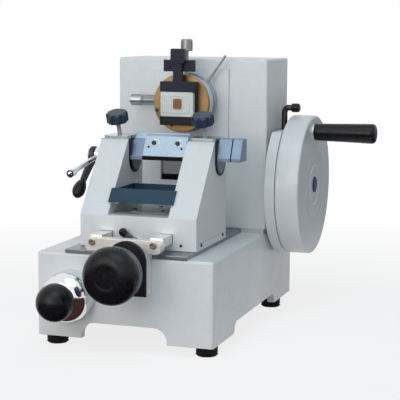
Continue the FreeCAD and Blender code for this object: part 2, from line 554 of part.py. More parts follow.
class Piece:
    """One rigid sub-part: a body whose features are added in turn."""

    def __init__(self, label):
        self.label = label
        self.body = document.addObject("PartDesign::Body", label)
        self.body.Label = label
        self.count = 0
        self.placed = False

    def plane(self, axis):
        for feature in self.body.Origin.OriginFeatures:
            if feature.Role == PLANES[axis]:
                return feature

    def sketch(self, axis, offset):
        """An empty sketch square to an axis, its origin moved by three measures."""
        self.count += 1
        sketch = self.body.newObject("Sketcher::SketchObject", f"{self.label}_sketch_{self.count}")
        sketch.AttachmentSupport = [(self.plane(axis), "")]
        sketch.MapMode = "FlatFace"
        for name, value in zip("xyz", offset):
            sketch.setExpression(f"AttachmentOffset.Base.{name}", measure(value).formula)
        return sketch

    def feature(self, kind, sketch):
        feature = self.body.newObject(f"PartDesign::{kind}", f"{self.label}_{kind}_{self.count}")
        feature.Profile = sketch
        return feature

    def pad(self, axis, shapes, low, high):
        """Material between two places along an axis."""
        low, high = measure(low), measure(high)
        start = low if NORMAL_SIGN[axis] > 0 else -high
        sketch = self.sketch(axis, (ZERO, ZERO, start))
        draw(sketch, shapes)
        feature = self.feature("Pad", sketch)
        feature.setExpression("Length", (high - low).formula)
        return self.done(feature)

    def pocket(self, axis, shapes, low, high):
        """A cut between two places along an axis."""
        low, high = measure(low), measure(high)
        start = high if NORMAL_SIGN[axis] > 0 else -low
        sketch = self.sketch(axis, (ZERO, ZERO, start))
        draw(sketch, shapes)
        feature = self.feature("Pocket", sketch)
        feature.setExpression("Length", (high - low).formula)
        return self.done(feature)

    def turned(self, axis, centre, outline, kind="Revolution"):
        """A turned form or groove: outline points are (distance along the axis, radius)."""
        first, second = measure(centre[0]), measure(centre[1])
        if axis == "X":
            sketch = self.sketch("Z", (ZERO, first, second))
            draw(sketch, [outline])
            turn_line = "H_Axis"
        elif axis == "Y":
            sketch = self.sketch("Z", (first, ZERO, second))
            draw(sketch, [swap(outline)])
            turn_line = "V_Axis"
        else:
            sketch = self.sketch("Y", (first, ZERO, -second))
            draw(sketch, [swap(outline)])
            turn_line = "V_Axis"
        feature = self.feature(kind, sketch)
        feature.ReferenceAxis = (sketch, [turn_line])
        feature.Angle = 360
        return self.done(feature)

    def around(self, feature, count, axis="Z"):
        """Repeat a feature round one of the body's own axes."""
        pattern = self.body.newObject("PartDesign::PolarPattern", f"{self.label}_ring_{self.count}")
        pattern.Originals = [feature]
        for line in self.body.Origin.OriginFeatures:
            if line.Role == f"{axis}_Axis":
                pattern.Axis = (line, [""])
        pattern.Angle = 360
        pattern.setExpression("Occurrences", count.formula)
        self.body.Tip = pattern
        return self.done(pattern)

    def edges(self, kind, radius, chosen):
        """Round or bevel the edges that a test picks."""
        document.recompute()
        shape = self.body.Shape
        names = [f"Edge{i}" for i, edge in enumerate(shape.Edges, start=1) if chosen(edge)]
        if not names:
            raise ValueError(f"{self.label}: no edge chosen")
        tip = self.body.Tip
        feature = self.body.newObject(f"PartDesign::{kind}", f"{self.label}_{kind}_{self.count}")
        feature.Base = (tip, names)
        size_name = "Radius" if kind == "Fillet" else "Size"
        feature.setExpression(size_name, radius.formula)
        return self.done(feature)

    def place(self, spot, axis="Z", angle=None):
        """Move the finished body to its spot, turned about one axis through its own origin.

        Spots are told from the middle of the base; the frame's origin is the middle of the whole
        machine's footprint.
        """
        self.placed = True
        spot = [measure(value) - middle for value, middle in zip(spot, (whole_x, whole_y, ZERO))]
        turn = FreeCAD.Rotation()
        if angle is not None:
            direction = FreeCAD.Vector(*[1.0 if name == axis else 0.0 for name in "XYZ"])
            turn = FreeCAD.Rotation(direction, angle.number)
        base = FreeCAD.Vector(*[value.number for value in spot])
        self.body.Placement = FreeCAD.Placement(base, turn)
        for name, value in zip("xyz", spot):
            self.body.setExpression(f"Placement.Base.{name}", value.formula)
        if angle is not None and angle.number > 0:
            self.body.setExpression("Placement.Rotation.Angle", angle.formula)
        document.recompute()

    def done(self, feature):
        document.recompute()
        if self.body.Shape.isNull() or not feature.isValid():
            raise ValueError(f"{self.label}: {feature.Name} failed")
        return feature


def swap(outline):
    """The same outline with its two directions exchanged."""
    exchanged = []
    for item in outline:
        arc = (item[3], -item[4]) if item[0] == "arc" else ()
        exchanged.append((item[0], item[2], item[1]) + arc)
    return exchanged


def corner(u, v):
    """A straight run to this point."""
    return ("line", measure(u), measure(v))


def bend(u, v, radius, side):
    """An arc to this point, less than half a turn; side is +1 where its middle lies to the left."""
    return ("arc", measure(u), measure(v), measure(radius), side)


def circle(u, v, radius):
    return [("circle", measure(u), measure(v), measure(radius))]


def rectangle(u_low, v_low, u_high, v_high):
    return [corner(u_low, v_low), corner(u_high, v_low), corner(u_high, v_high), corner(u_low, v_high)]


def arc_between(start, end, radius, side):
    """The arc of less than half a turn between two points."""
    chord = end - start
    half = chord.Length / 2
    normal = FreeCAD.Vector(-chord.y, chord.x, 0).normalize() * side
    centre = (start + end) * 0.5 + normal * math.sqrt(max(radius * radius - half * half, 0))
    first, last = (start, end) if side > 0 else (end, start)
    angles = [math.atan2(point.y - centre.y, point.x - centre.x) for point in (first, last)]
    return Part.ArcOfCircle(Part.Circle(centre, FreeCAD.Vector(0, 0, 1), radius), *angles)


def draw(sketch, shapes):
    """Draw closed outlines or circles and bind every point and radius to the spreadsheet."""
    for shape in shapes:
        if shape[0][0] == "circle":
            draw_circle(sketch, *shape[0][1:])
        else:
            draw_outline(sketch, shape)


def bind(sketch, kind, *data):
    """Add a constraint whose value follows a measure, the last item."""
    value = data[-1]
    index = sketch.addConstraint(Sketcher.Constraint(kind, *data[:-1], value.number))
    sketch.setExpression(f"Constraints[{index}]", value.formula)


def draw_circle(sketch, u, v, radius):
    middle = FreeCAD.Vector(u.number, v.number, 0)
    index = sketch.addGeometry(Part.Circle(middle, FreeCAD.Vector(0, 0, 1), radius.number))
    bind(sketch, "DistanceX", -1, 1, index, 3, u)
    bind(sketch, "DistanceY", -1, 1, index, 3, v)
    bind(sketch, "Radius", index, radius)


def draw_outline(sketch, outline):
    first = sketch.GeometryCount
    points = [FreeCAD.Vector(item[1].number, item[2].number, 0) for item in outline]
    for i, item in enumerate(outline):
        start, end = points[i - 1], points[i]
        if item[0] == "line":
            sketch.addGeometry(Part.LineSegment(start, end))
        else:
            sketch.addGeometry(arc_between(start, end, item[3].number, item[4]))
    count = len(outline)
    ends = [(first + i, 1 if item[0] == "arc" and item[4] < 0 else 2) for i, item in enumerate(outline)]
    for i, item in enumerate(outline):
        geometry, end_side = ends[i]
        following, following_end = ends[(i + 1) % count]
        sketch.addConstraint(Sketcher.Constraint("Coincident", geometry, end_side, following, 3 - following_end))
        bind(sketch, "DistanceX", -1, 1, geometry, end_side, item[1])
        bind(sketch, "DistanceY", -1, 1, geometry, end_side, item[2])
        if item[0] == "arc":
            bind(sketch, "Radius", geometry, item[3])


def settle(piece):
    """Put a piece that was modelled where it stands into the frame."""
    if not piece.placed:
        piece.place((ZERO, ZERO, ZERO))


def group(label, pieces):
    """Several separate solids under one name."""
    for piece in pieces:
        settle(piece)
    compound = document.addObject("Part::Compound", label)
    compound.Label = label
    compound.Links = [piece.body for piece in pieces]
    document.recompute()
    return compound


nodes = []


def keep(label, thing):
    """List a finished sub-part under the name of its file."""
    if isinstance(thing, Piece):
        settle(thing)
        thing = thing.body
    nodes.append((label, thing))


# Places that several sub-parts share
front = -at.base_depth / 2
rear = at.base_depth / 2
bed_top = at.base_top + at.bed_thickness
rail_top = bed_top + at.rail_height
carriage_front = front + at.carriage_front
carriage_rear = carriage_front + at.carriage_depth
carriage_left = at.carriage_x - at.carriage_width / 2
carriage_right = at.carriage_x + at.carriage_width / 2
window_left = carriage_left + at.pillar_width
window_right = carriage_right - at.pillar_width
tilt_y = carriage_front + at.tilt_setback
column_front = front + at.column_front
column_rear = column_front + at.column_depth
foot_x = at.base_width / 2 - at.foot_inset
column_right = at.base_width / 2
column_left = column_right - at.column_width
column_x = column_right - at.column_width / 2
column_bottom = at.base_top + at.plinth_height
wheel_y = front + at.wheel_setback
opening_left = column_x - at.opening_width / 2
opening_right = column_x + at.opening_width / 2
slide_front = column_front + at.slide_recess
slide_rear = slide_front + at.slide_thickness
ball_y = column_front - at.ball_joint_ahead
disc_front = column_front - at.disc_ahead
clamp_front = column_front - at.clamp_ahead
drum_left = column_right + at.drum_neck_length
drum_right = drum_left + at.drum_length
wheel_left = drum_right + at.wheel_gap
wheel_right = wheel_left + at.wheel_length
grip_start = wheel_right + at.handle_collar_length + at.hub_gap
grip_end = grip_start + at.handle_length

# Middle of the whole machine's footprint, from the middle of the base
whole_x = (grip_end - at.base_width / 2) / 2
whole_y = (wheel_y + at.wheel_radius + front - at.knob_widest - at.knob_crown) / 2


def rounded(u_low, v_low, u_high, v_high, radius):
    """A rectangle with round corners."""
    return [
        corner(u_high - radius, v_low),
        bend(u_high, v_low + radius, radius, 1),
        corner(u_high, v_high - radius),
        bend(u_high - radius, v_high, radius, 1),
        corner(u_low + radius, v_high),
        bend(u_low, v_high - radius, radius, 1),
        corner(u_low, v_low + radius),
        bend(u_low + radius, v_low, radius, 1),
    ]


def arch(middle, width, low, high, radius):
    """A flat arch: straight sides, round upper corners."""
    left = middle - width / 2
    right = middle + width / 2
    return [
        corner(left, low),
        corner(right, low),
        corner(right, high - radius),
        bend(right - radius, high, radius, 1),
        corner(left + radius, high),
        bend(left, high - radius, radius, 1),
    ]


def upright_edge(edge):
    """A straight edge that runs up."""
    first, last = edge.Vertexes[0].Point, edge.Vertexes[-1].Point
    return abs(first.x - last.x) < 1e-4 and abs(first.y - last.y) < 1e-4


def level_edge_at(height):
    """A test for edges that lie wholly at one height."""
    return lambda edge: all(abs(vertex.Point.z - height.number) < 1e-4 for vertex in edge.Vertexes)


def edge_across(axis, place):
    """A test for edges that lie wholly in a plane square to an axis."""
    index = "XYZ".index(axis)
    return lambda edge: all(abs(vertex.Point[index] - place.number) < 1e-4 for vertex in edge.Vertexes)


def outer_upright(left, right, near, far):
    """A test for the upright edges at the corners of a plan."""
    def chosen(edge):
        point = edge.Vertexes[0].Point
        at_side = min(abs(point.x - left.number), abs(point.x - right.number)) < 1e-4
        at_end = min(abs(point.y - near.number), abs(point.y - far.number)) < 1e-4
        return upright_edge(edge) and at_side and at_end
    return chosen


# Base and front drive


def base_casting():
    """Hollow casting on four legs, with arches between them and room for the lead screw."""
    piece = Piece("base_casting")
    half = at.base_width / 2
    deck = at.base_top - at.base_deck
    piece.pad("Z", [rectangle(-half, front, half, rear)], at.foot_height, at.base_top)
    piece.edges("Fillet", at.base_round, outer_upright(-half, half, front, rear))
    piece.edges("Fillet", at.base_round, level_edge_at(at.base_top))
    hollow = rectangle(-half + at.base_wall, front + at.base_wall, half - at.base_wall, rear - at.base_wall)
    piece.pocket("Z", [hollow], at.foot_height - at.overrun, deck)
    for side in (-1, 1):
        for place in (front + at.foot_front, rear - at.foot_rear):
            boss = circle(side * (foot_x - at.foot_boss_inset), place, at.foot_boss)
            piece.pad("Z", [boss], at.foot_height, at.foot_height + at.foot_boss_height)
            stud = circle(side * foot_x, place, at.foot_stud + at.fit)
            piece.pocket("Z", [stud], at.foot_height - at.overrun, at.foot_height + at.foot_stud_length + at.overrun)
    opening = arch(ZERO, at.front_arch_width, at.foot_height - at.overrun,
                   at.foot_height + at.front_arch_rise, at.front_arch_corner)
    piece.pocket("Y", [opening], front - at.overrun, rear + at.overrun)
    opening = arch(ZERO, at.side_arch_width, at.foot_height - at.overrun,
                   at.foot_height + at.side_arch_rise, at.side_arch_corner)
    piece.pocket("X", [opening], -half - at.overrun, half + at.overrun)
    boss_rear = front + at.base_wall + at.spindle_boss_length
    boss = circle(-at.dial_x, at.dial_z, at.spindle_boss_radius)
    piece.pad("Y", [boss], front + at.base_wall / 2, boss_rear)
    bore = circle(-at.dial_x, at.dial_z, at.spindle_radius + at.fit)
    piece.pocket("Y", [bore], front - at.overrun, boss_rear + at.overrun)
    slot_left = at.drive_x - at.screw_slot / 2
    slot_right = at.drive_x + at.screw_slot / 2
    boss_front = front + at.screw_rear - at.rear_boss_length
    piece.pocket("Y", [circle(at.drive_x, at.drive_z, at.front_bore)], front - at.overrun, front + at.base_wall + at.overrun)
    piece.pocket("Z", [rectangle(slot_left, front + at.base_wall, slot_right, boss_front)],
                 deck - at.overrun, at.base_top + at.overrun)
    piece.pad("Z", [rectangle(slot_left, boss_front, slot_right, front + at.screw_rear)],
              at.drive_z - at.rear_boss_drop, deck + at.overrun)
    journal = circle(at.drive_x, at.drive_z, at.journal_radius + at.fit)
    piece.pocket("Y", [journal], boss_front - at.overrun, front + at.screw_rear + at.overrun)
    keep("base_casting", piece)


def rubber_feet():
    """Four turned feet with moulded studs."""
    feet = []
    for i, side in enumerate((-1, 1)):
        for j, place in enumerate((front + at.foot_front, rear - at.foot_rear)):
            foot = Piece(f"rubber_foot_{i}{j}")
            outline = [
                corner(ZERO, ZERO),
                corner(ZERO, at.foot_radius - at.foot_taper - at.foot_edge),
                bend(at.foot_edge, at.foot_radius - at.foot_taper, at.foot_edge, -1),
                corner(at.foot_height, at.foot_radius),
                corner(at.foot_height, at.foot_stud),
                corner(at.foot_height + at.foot_stud_length, at.foot_stud),
                corner(at.foot_height + at.foot_stud_length, ZERO),
            ]
            foot.turned("Z", (side * foot_x, place), outline)
            feet.append(foot)
    keep("rubber_feet", group("rubber_feet", feet))


def bed_rail():
    """Ground bed plate with the dovetail that guides the knife carriage."""
    piece = Piece("bed_rail")
    piece.pad("Z", [rectangle(-at.bed_left, front, at.bed_right, column_front - at.bed_short)], at.base_top, bed_top)
    piece.edges("Chamfer", at.bed_chamfer, level_edge_at(bed_top))
    middle = at.carriage_x
    half = at.rail_width / 2
    foot = half - at.rail_undercut
    outline = [
        corner(middle - foot, bed_top - at.overrun / 2),
        corner(middle + foot, bed_top - at.overrun / 2),
        corner(middle + foot, bed_top),
        corner(middle + half, rail_top),
        corner(middle - half, rail_top),
        corner(middle - foot, bed_top),
    ]
    piece.pad("Y", [outline], front + at.rail_front, front + at.rail_rear)
    nut_front = front + at.nut_setback - at.nut_length / 2 - at.forward_travel - at.overrun
    nut_rear = front + at.nut_setback + at.nut_length / 2 + at.rearward_travel + at.overrun
    slot = rectangle(at.drive_x - at.nut_slot / 2, nut_front, at.drive_x + at.nut_slot / 2, nut_rear)
    piece.pocket("Z", [slot], at.base_top - at.overrun, rail_top + at.overrun)
    keep("bed_rail", piece)


def front_bracket():
    """Bearing bracket for the lead screw, on the base's front."""
    piece = Piece("front_bracket")
    left = at.drive_x - at.bracket_width / 2
    right = at.drive_x + at.bracket_width / 2
    box = rectangle(left, front - at.bracket_depth, right, front)
    piece.pad("Z", [box], at.bracket_bottom, at.yoke_bottom)
    piece.edges("Fillet", at.bracket_round, level_edge_at(at.bracket_bottom))
    bore = circle(at.drive_x, at.drive_z, at.screw_radius + at.fit)
    piece.pocket("Y", [bore], front - at.bracket_depth - at.overrun, front + at.overrun)
    keep("front_bracket", piece)


def cover_plate():
    """Black plate in front of the bracket, square below and round above."""
    piece = Piece("cover_plate")
    left = at.drive_x - at.cover_half_width
    right = at.drive_x + at.cover_half_width
    spring = at.cover_top - at.cover_half_width
    outline = [
        corner(left, at.bracket_bottom),
        corner(right, at.bracket_bottom),
        corner(right, spring),
        bend(at.drive_x, at.cover_top, at.cover_half_width, 1),
        bend(left, spring, at.cover_half_width, 1),
    ]
    plate_rear = front - at.bracket_depth
    plate_front = plate_rear - at.cover_thickness
    piece.pad("Y", [outline], plate_front, plate_rear)
    piece.edges("Chamfer", at.cover_chamfer, edge_across("Y", plate_front))
    bore = circle(at.drive_x, at.drive_z, at.screw_radius + at.fit)
    piece.pocket("Y", [bore], plate_front - at.overrun, plate_rear + at.overrun)
    keep("cover_plate", piece)


def yoke_places():
    return (at.yoke_x - at.arm_spread, at.yoke_x + at.arm_spread)


def yoke_bar():
    """Cross bar with two guide arms that reach into the knife carriage."""
    piece = Piece("yoke_bar")
    bar_front = front - at.bracket_depth
    bar_rear = bar_front + at.yoke_depth
    half = at.yoke_length / 2
    bar = rounded(at.yoke_x - half, at.yoke_bottom, at.yoke_x + half, at.yoke_bottom + at.yoke_height, at.yoke_corner)
    piece.pad("Y", [bar], bar_front, bar_rear)
    arms = []
    holes = []
    for place in yoke_places():
        arms.append(rectangle(place - at.arm_width / 2, at.arm_bottom, place + at.arm_width / 2, at.arm_bottom + at.arm_height))
        holes.append(circle(place, at.yoke_screw_z, at.yoke_shank + at.fit))
    piece.pad("Y", arms, bar_rear - at.overrun, bar_rear + at.arm_length)
    piece.pocket("Y", holes, bar_front - at.overrun, bar_rear)
    keep("yoke_bar", piece)


def yoke_screws():
    """Two socket screws that clamp the arms."""
    bar_front = front - at.bracket_depth
    screws = []
    for i, place in enumerate(yoke_places()):
        screw = Piece(f"yoke_screw_{i}")
        outline = [
            corner(bar_front - at.yoke_head_height, ZERO),
            corner(bar_front - at.yoke_head_height, at.yoke_head - at.knob_edge / 2),
            corner(bar_front - at.yoke_head_height + at.knob_edge / 2, at.yoke_head),
            corner(bar_front, at.yoke_head),
            corner(bar_front, at.yoke_shank),
            corner(bar_front + at.yoke_depth - at.overrun, at.yoke_shank),
            corner(bar_front + at.yoke_depth - at.overrun, ZERO),
        ]
        screw.turned("Y", (place, at.yoke_screw_z), outline)
        reach = at.yoke_socket
        slant = reach / 2
        rise = reach * sine(at.hexagon_turn)
        middle_z = at.yoke_screw_z
        hexagon = [
            corner(place - reach, middle_z),
            corner(place - slant, middle_z - rise),
            corner(place + slant, middle_z - rise),
            corner(place + reach, middle_z),
            corner(place + slant, middle_z + rise),
            corner(place - slant, middle_z + rise),
        ]
        screw.pocket("Y", [hexagon], bar_front - at.yoke_head_height - at.overrun, bar_front - at.overrun / 2)
        screws.append(screw)
    keep("yoke_screws", group("yoke_screws", screws))


def lead_screw():
    """Feed spindle from the front knob to the bearing under the deck."""
    piece = Piece("lead_screw")
    widest = front - at.knob_widest
    hub_front = widest + at.knob_step + at.knob_ring + at.knob_cone
    neck_rear = front - at.bracket_depth - at.cover_thickness - at.knob_gap
    journal_front = front + at.screw_rear - at.rear_boss_length - at.hub_gap
    outline = [
        corner(widest - at.knob_crown + at.knob_bore_end, ZERO),
        corner(widest - at.knob_crown + at.knob_bore_end, at.screw_radius),
        corner(hub_front, at.screw_radius),
        corner(hub_front, at.knob_hub_radius),
        corner(hub_front + at.knob_hub_length, at.knob_neck_radius),
        corner(neck_rear, at.knob_neck_radius),
        corner(neck_rear, at.screw_radius),
        corner(journal_front, at.screw_radius),
        corner(journal_front, at.journal_radius),
        corner(front + at.screw_rear - at.hub_gap, at.journal_radius),
        corner(front + at.screw_rear - at.hub_gap, ZERO),
    ]
    piece.turned("Y", (at.drive_x, at.drive_z), outline)
    keep("lead_screw", piece)


def drive_knob():
    """Large domed knob with a stepped ring behind its rim."""
    piece = Piece("drive_knob")
    widest = front - at.knob_widest
    step = widest + at.knob_step
    ring = step + at.knob_ring
    bore_end = widest - at.knob_crown + at.knob_bore_end
    bore = at.screw_radius + at.fit
    outline = [
        corner(widest - at.knob_crown, ZERO),
        corner(widest - at.knob_crown, at.knob_nose),
        bend(widest, at.knob_radius, at.knob_dome, -1),
        bend(step, at.knob_rim_radius, at.knob_rim_curve, -1),
        corner(step, at.knob_step_radius),
        corner(ring, at.knob_step_radius - at.knob_edge),
        corner(ring + at.knob_cone, at.knob_hub_radius),
        corner(ring + at.knob_cone, bore),
        corner(bore_end - at.fit, bore),
        corner(bore_end - at.fit, ZERO),
    ]
    piece.turned("Y", (at.drive_x, at.drive_z), outline)
    keep("drive_knob", piece)


def thickness_setting():
    """Chrome bell, ball knob and the spindle with its cam inside the base."""
    bell = Piece("thickness_bell")
    back = front - at.dial_gap
    skirt = back - at.dial_skirt
    neck = skirt - at.dial_dome
    bore = at.spindle_radius + at.fit
    outline = [
        corner(back, bore),
        corner(back, at.dial_radius),
        corner(skirt, at.dial_radius),
        bend(neck, at.dial_neck, at.dial_curve, 1),
        corner(neck, bore),
    ]
    bell.turned("Y", (-at.dial_x, at.dial_z), outline)
    keep("thickness_bell", bell)

    ball = Piece("thickness_ball")
    middle = front - at.ball_ahead
    flat = root(at.ball_radius * at.ball_radius - (neck - middle) * (neck - middle))
    bore_end = middle - at.ball_radius / 2
    outline = [
        corner(bore_end, ZERO),
        corner(bore_end, bore),
        corner(neck, bore),
        corner(neck, flat),
        bend(middle - at.ball_radius, ZERO, at.ball_radius, 1),
    ]
    ball.turned("Y", (-at.dial_x, at.dial_z), outline)
    keep("thickness_ball", ball)

    spindle = Piece("thickness_spindle")
    tail = front + at.spindle_rear
    outline = [
        corner(bore_end + at.fit, ZERO),
        corner(bore_end + at.fit, at.spindle_radius),
        corner(tail, at.spindle_radius),
        corner(tail, ZERO),
    ]
    spindle.turned("Y", (-at.dial_x, at.dial_z), outline)
    cam = circle(-at.dial_x, at.dial_z + at.cam_offset, at.cam_radius)
    spindle.pad("Y", [cam], tail - at.cam_thickness, tail)
    keep("thickness_spindle", spindle)


# Knife carriage


def carriage():
    """Carriage casting: low block, two pillars with sloping fronts and open seats."""
    piece = Piece("knife_carriage")
    under = bed_top + at.slide_gap
    block = rectangle(carriage_left, carriage_front, carriage_right, carriage_rear)
    piece.pad("Z", [block], under, at.carriage_block_top)
    slope_end = carriage_front + at.pillar_slope_run
    pillar = [
        corner(carriage_front, at.carriage_block_top - at.overrun),
        corner(carriage_rear, at.carriage_block_top - at.overrun),
        corner(carriage_rear, at.pillar_top),
        corner(slope_end + at.pillar_bevel, at.pillar_top),
        corner(slope_end, at.pillar_front_top),
        corner(carriage_front, at.carriage_block_top),
    ]
    piece.pad("X", [pillar], carriage_left, window_left)
    piece.pad("X", [pillar], window_right, carriage_right)
    seat = at.liner_outer + at.fit
    cut = [
        corner(tilt_y - seat, at.pillar_top + at.overrun),
        corner(tilt_y - seat, at.tilt_z),
        bend(tilt_y, at.tilt_z - seat, seat, 1),
        bend(tilt_y + seat, at.tilt_z, seat, 1),
        corner(tilt_y + seat, at.pillar_top + at.overrun),
    ]
    piece.pocket("X", [cut], carriage_left - at.overrun, carriage_right + at.overrun)
    half = at.rail_width / 2 + at.slide_gap
    foot = half - at.rail_undercut
    roof = rail_top + at.slide_gap
    groove = [
        corner(at.carriage_x - foot, under - at.overrun),
        corner(at.carriage_x + foot, under - at.overrun),
        corner(at.carriage_x + foot, under),
        corner(at.carriage_x + half, roof),
        corner(at.carriage_x - half, roof),
        corner(at.carriage_x - foot, under),
    ]
    piece.pocket("Y", [groove], carriage_front + at.apron, carriage_rear + at.overrun)
    slots = []
    for place in yoke_places():
        wide = at.arm_width / 2 + at.arm_clearance
        slots.append(rectangle(place - wide, at.arm_bottom - at.arm_clearance, place + wide,
                               at.arm_bottom + at.arm_height + at.arm_clearance))
    piece.pocket("Y", slots, carriage_front - at.overrun, carriage_front + at.arm_pocket)
    gib_front = carriage_front + at.gib_inset_front
    gib_rear = carriage_rear - at.gib_inset_rear
    recess = rectangle(gib_front, under - at.overrun, gib_rear, under + at.gib_height + at.part_line)
    piece.pocket("X", [recess], carriage_right - at.gib_depth, carriage_right + at.overrun)
    floor_slots = []
    for side in (-1, 1):
        middle = at.carriage_x + side * at.floor_slot_pitch / 2
        floor_slots.append(rectangle(middle - at.floor_slot_length / 2, carriage_front + at.floor_slot_setback,
                                     middle + at.floor_slot_length / 2,
                                     carriage_front + at.floor_slot_setback + at.floor_slot_width))
    piece.pocket("Z", floor_slots, at.carriage_block_top - at.floor_slot_depth, at.carriage_block_top + at.overrun)
    boss = circle(at.lock_x, at.lock_z, at.lock_boss_radius)
    piece.pad("Y", [boss], carriage_front - at.lock_boss_length, carriage_front + at.overrun)
    stud = circle(at.lock_x, at.lock_z, at.lock_stud_radius + at.fit)
    piece.pocket("Y", [stud], carriage_front - at.lock_boss_length - at.overrun, carriage_front + at.lock_stud_depth)
    ledge_top = at.tray_bottom - at.ledge_gap
    ledge_front = carriage_front + at.ledge_setback
    for low, high in ((window_left - at.overrun, window_left + at.ledge_depth),
                      (window_right - at.ledge_depth, window_right + at.overrun)):
        ledge = rectangle(ledge_front, ledge_top - at.ledge_height, ledge_front + at.ledge_length, ledge_top)
        piece.pad("X", [ledge], low, high)
    keep("knife_carriage", piece)


def gib_strip():
    """Adjusting strip let into the carriage's lower right edge."""
    piece = Piece("gib_strip")
    under = bed_top + at.slide_gap
    strip = rectangle(carriage_front + at.gib_inset_front + at.part_line, under,
                      carriage_rear - at.gib_inset_rear - at.part_line, under + at.gib_height)
    piece.pad("X", [strip], carriage_right - at.gib_depth, carriage_right + at.part_line)
    keep("gib_strip", piece)


def seat_liners():
    """Two U-shaped steel liners in which the knife holder turns."""
    liners = []
    for i, (low, high) in enumerate(((carriage_left, window_left), (window_right, carriage_right))):
        piece = Piece(f"seat_liner_{i}")
        outer = at.liner_outer
        inner = at.liner_inner
        outline = [
            corner(tilt_y - outer, at.pillar_top),
            corner(tilt_y - outer, at.tilt_z),
            bend(tilt_y, at.tilt_z - outer, outer, 1),
            bend(tilt_y + outer, at.tilt_z, outer, 1),
            corner(tilt_y + outer, at.pillar_top),
            corner(tilt_y + inner, at.pillar_top),
            corner(tilt_y + inner, at.tilt_z),
            bend(tilt_y, at.tilt_z - inner, inner, -1),
            bend(tilt_y - inner, at.tilt_z, inner, -1),
            corner(tilt_y - inner, at.pillar_top),
        ]
        piece.pad("X", [outline], low - at.liner_proud, high + at.liner_proud)
        liners.append(piece)
    keep("seat_liners", group("seat_liners", liners))


def star_places():
    """Middles of the two clamp screws, sideways: over the middle of each pillar."""
    return (window_left - at.pillar_width / 2, window_right + at.pillar_width / 2)


def cap_plates():
    """Steel caps over the seats, with leaning holes for the clamp screws."""
    plates = []
    cap_y = carriage_front + at.cap_setback
    for i, place in enumerate(star_places()):
        piece = Piece(f"cap_plate_{i}")
        half = at.pillar_width / 2 - at.cap_inset
        plan = rounded(place - half, cap_y, place + half, cap_y + at.cap_depth, at.cap_round)
        piece.pad("Z", [plan], at.pillar_top, at.pillar_top + at.cap_thickness)
        middle = (place, cap_y + at.star_setback, at.pillar_top + at.cap_thickness)
        sketch = piece.sketch("Z", middle)
        lean = FreeCAD.Rotation(FreeCAD.Vector(1, 0, 0), at.star_lean.number)
        sketch.AttachmentOffset = FreeCAD.Placement(sketch.AttachmentOffset.Base, lean)
        sketch.setExpression("AttachmentOffset.Rotation.Angle", at.star_lean.formula)
        draw(sketch, [circle(ZERO, ZERO, at.star_screw_radius + at.fit)])
        feature = piece.feature("Pocket", sketch)
        feature.Midplane = True
        feature.setExpression("Length", (at.cap_thickness * 4).formula)
        piece.done(feature)
        plates.append(piece)
    keep("cap_plates", group("cap_plates", plates))


def clamp_screws():
    """Leaning clamp screws with lobed star knobs, one on each pillar."""
    lean = at.star_lean
    cap_y = carriage_front + at.cap_setback + at.star_setback
    cap_z = at.pillar_top + at.cap_thickness
    knob_foot = at.star_standoff
    knob_head = at.star_standoff + at.star_height
    for side, place in zip(("left", "right"), star_places()):
        screw = Piece(f"clamp_screw_{side}")
        outline = [
            corner(-at.star_screw_below, ZERO),
            corner(-at.star_screw_below, at.star_screw_radius),
            corner(knob_head - at.star_crown, at.star_screw_radius),
            corner(knob_head - at.star_crown, ZERO),
        ]
        screw.turned("Z", (ZERO, ZERO), outline)
        screw.place((place, cap_y, cap_z), "X", lean)
        keep(f"clamp_screw_{side}", screw)

        knob = Piece(f"star_knob_{side}")
        outline = [
            corner(knob_foot, at.star_screw_radius + at.fit),
            corner(knob_foot, at.star_radius - at.star_crown),
            corner(knob_foot + at.star_crown / 2, at.star_radius),
            corner(knob_head - at.star_crown, at.star_radius),
            corner(knob_head, at.star_radius - at.star_crown * 2),
            corner(knob_head, ZERO),
            corner(knob_head - at.star_crown + at.fit, ZERO),
            corner(knob_head - at.star_crown + at.fit, at.star_screw_radius + at.fit),
        ]
        knob.turned("Z", (ZERO, ZERO), outline)
        notch = circle(at.star_waist + at.star_notch, ZERO, at.star_notch)
        cut = knob.pocket("Z", [notch], knob_foot - at.overrun, knob_head + at.overrun)
        knob.around(cut, at.star_lobes)
        knob.place((place, cap_y, cap_z), "X", lean)
        keep(f"star_knob_{side}", knob)


def feed_nut():
    """Nut under the carriage, on the lead screw."""
    piece = Piece("feed_nut")
    middle = front + at.nut_setback
    low = at.drive_z - at.nut_below
    block = rectangle(at.drive_x - at.nut_width / 2, middle - at.nut_length / 2,
                      at.drive_x + at.nut_width / 2, middle + at.nut_length / 2)
    piece.pad("Z", [block], low, rail_top + at.slide_gap)
    bore = circle(at.drive_x, at.drive_z, at.screw_radius + at.thread_play)
    piece.pocket("Y", [bore], middle - at.nut_length, middle + at.nut_length)
    keep("feed_nut", piece)


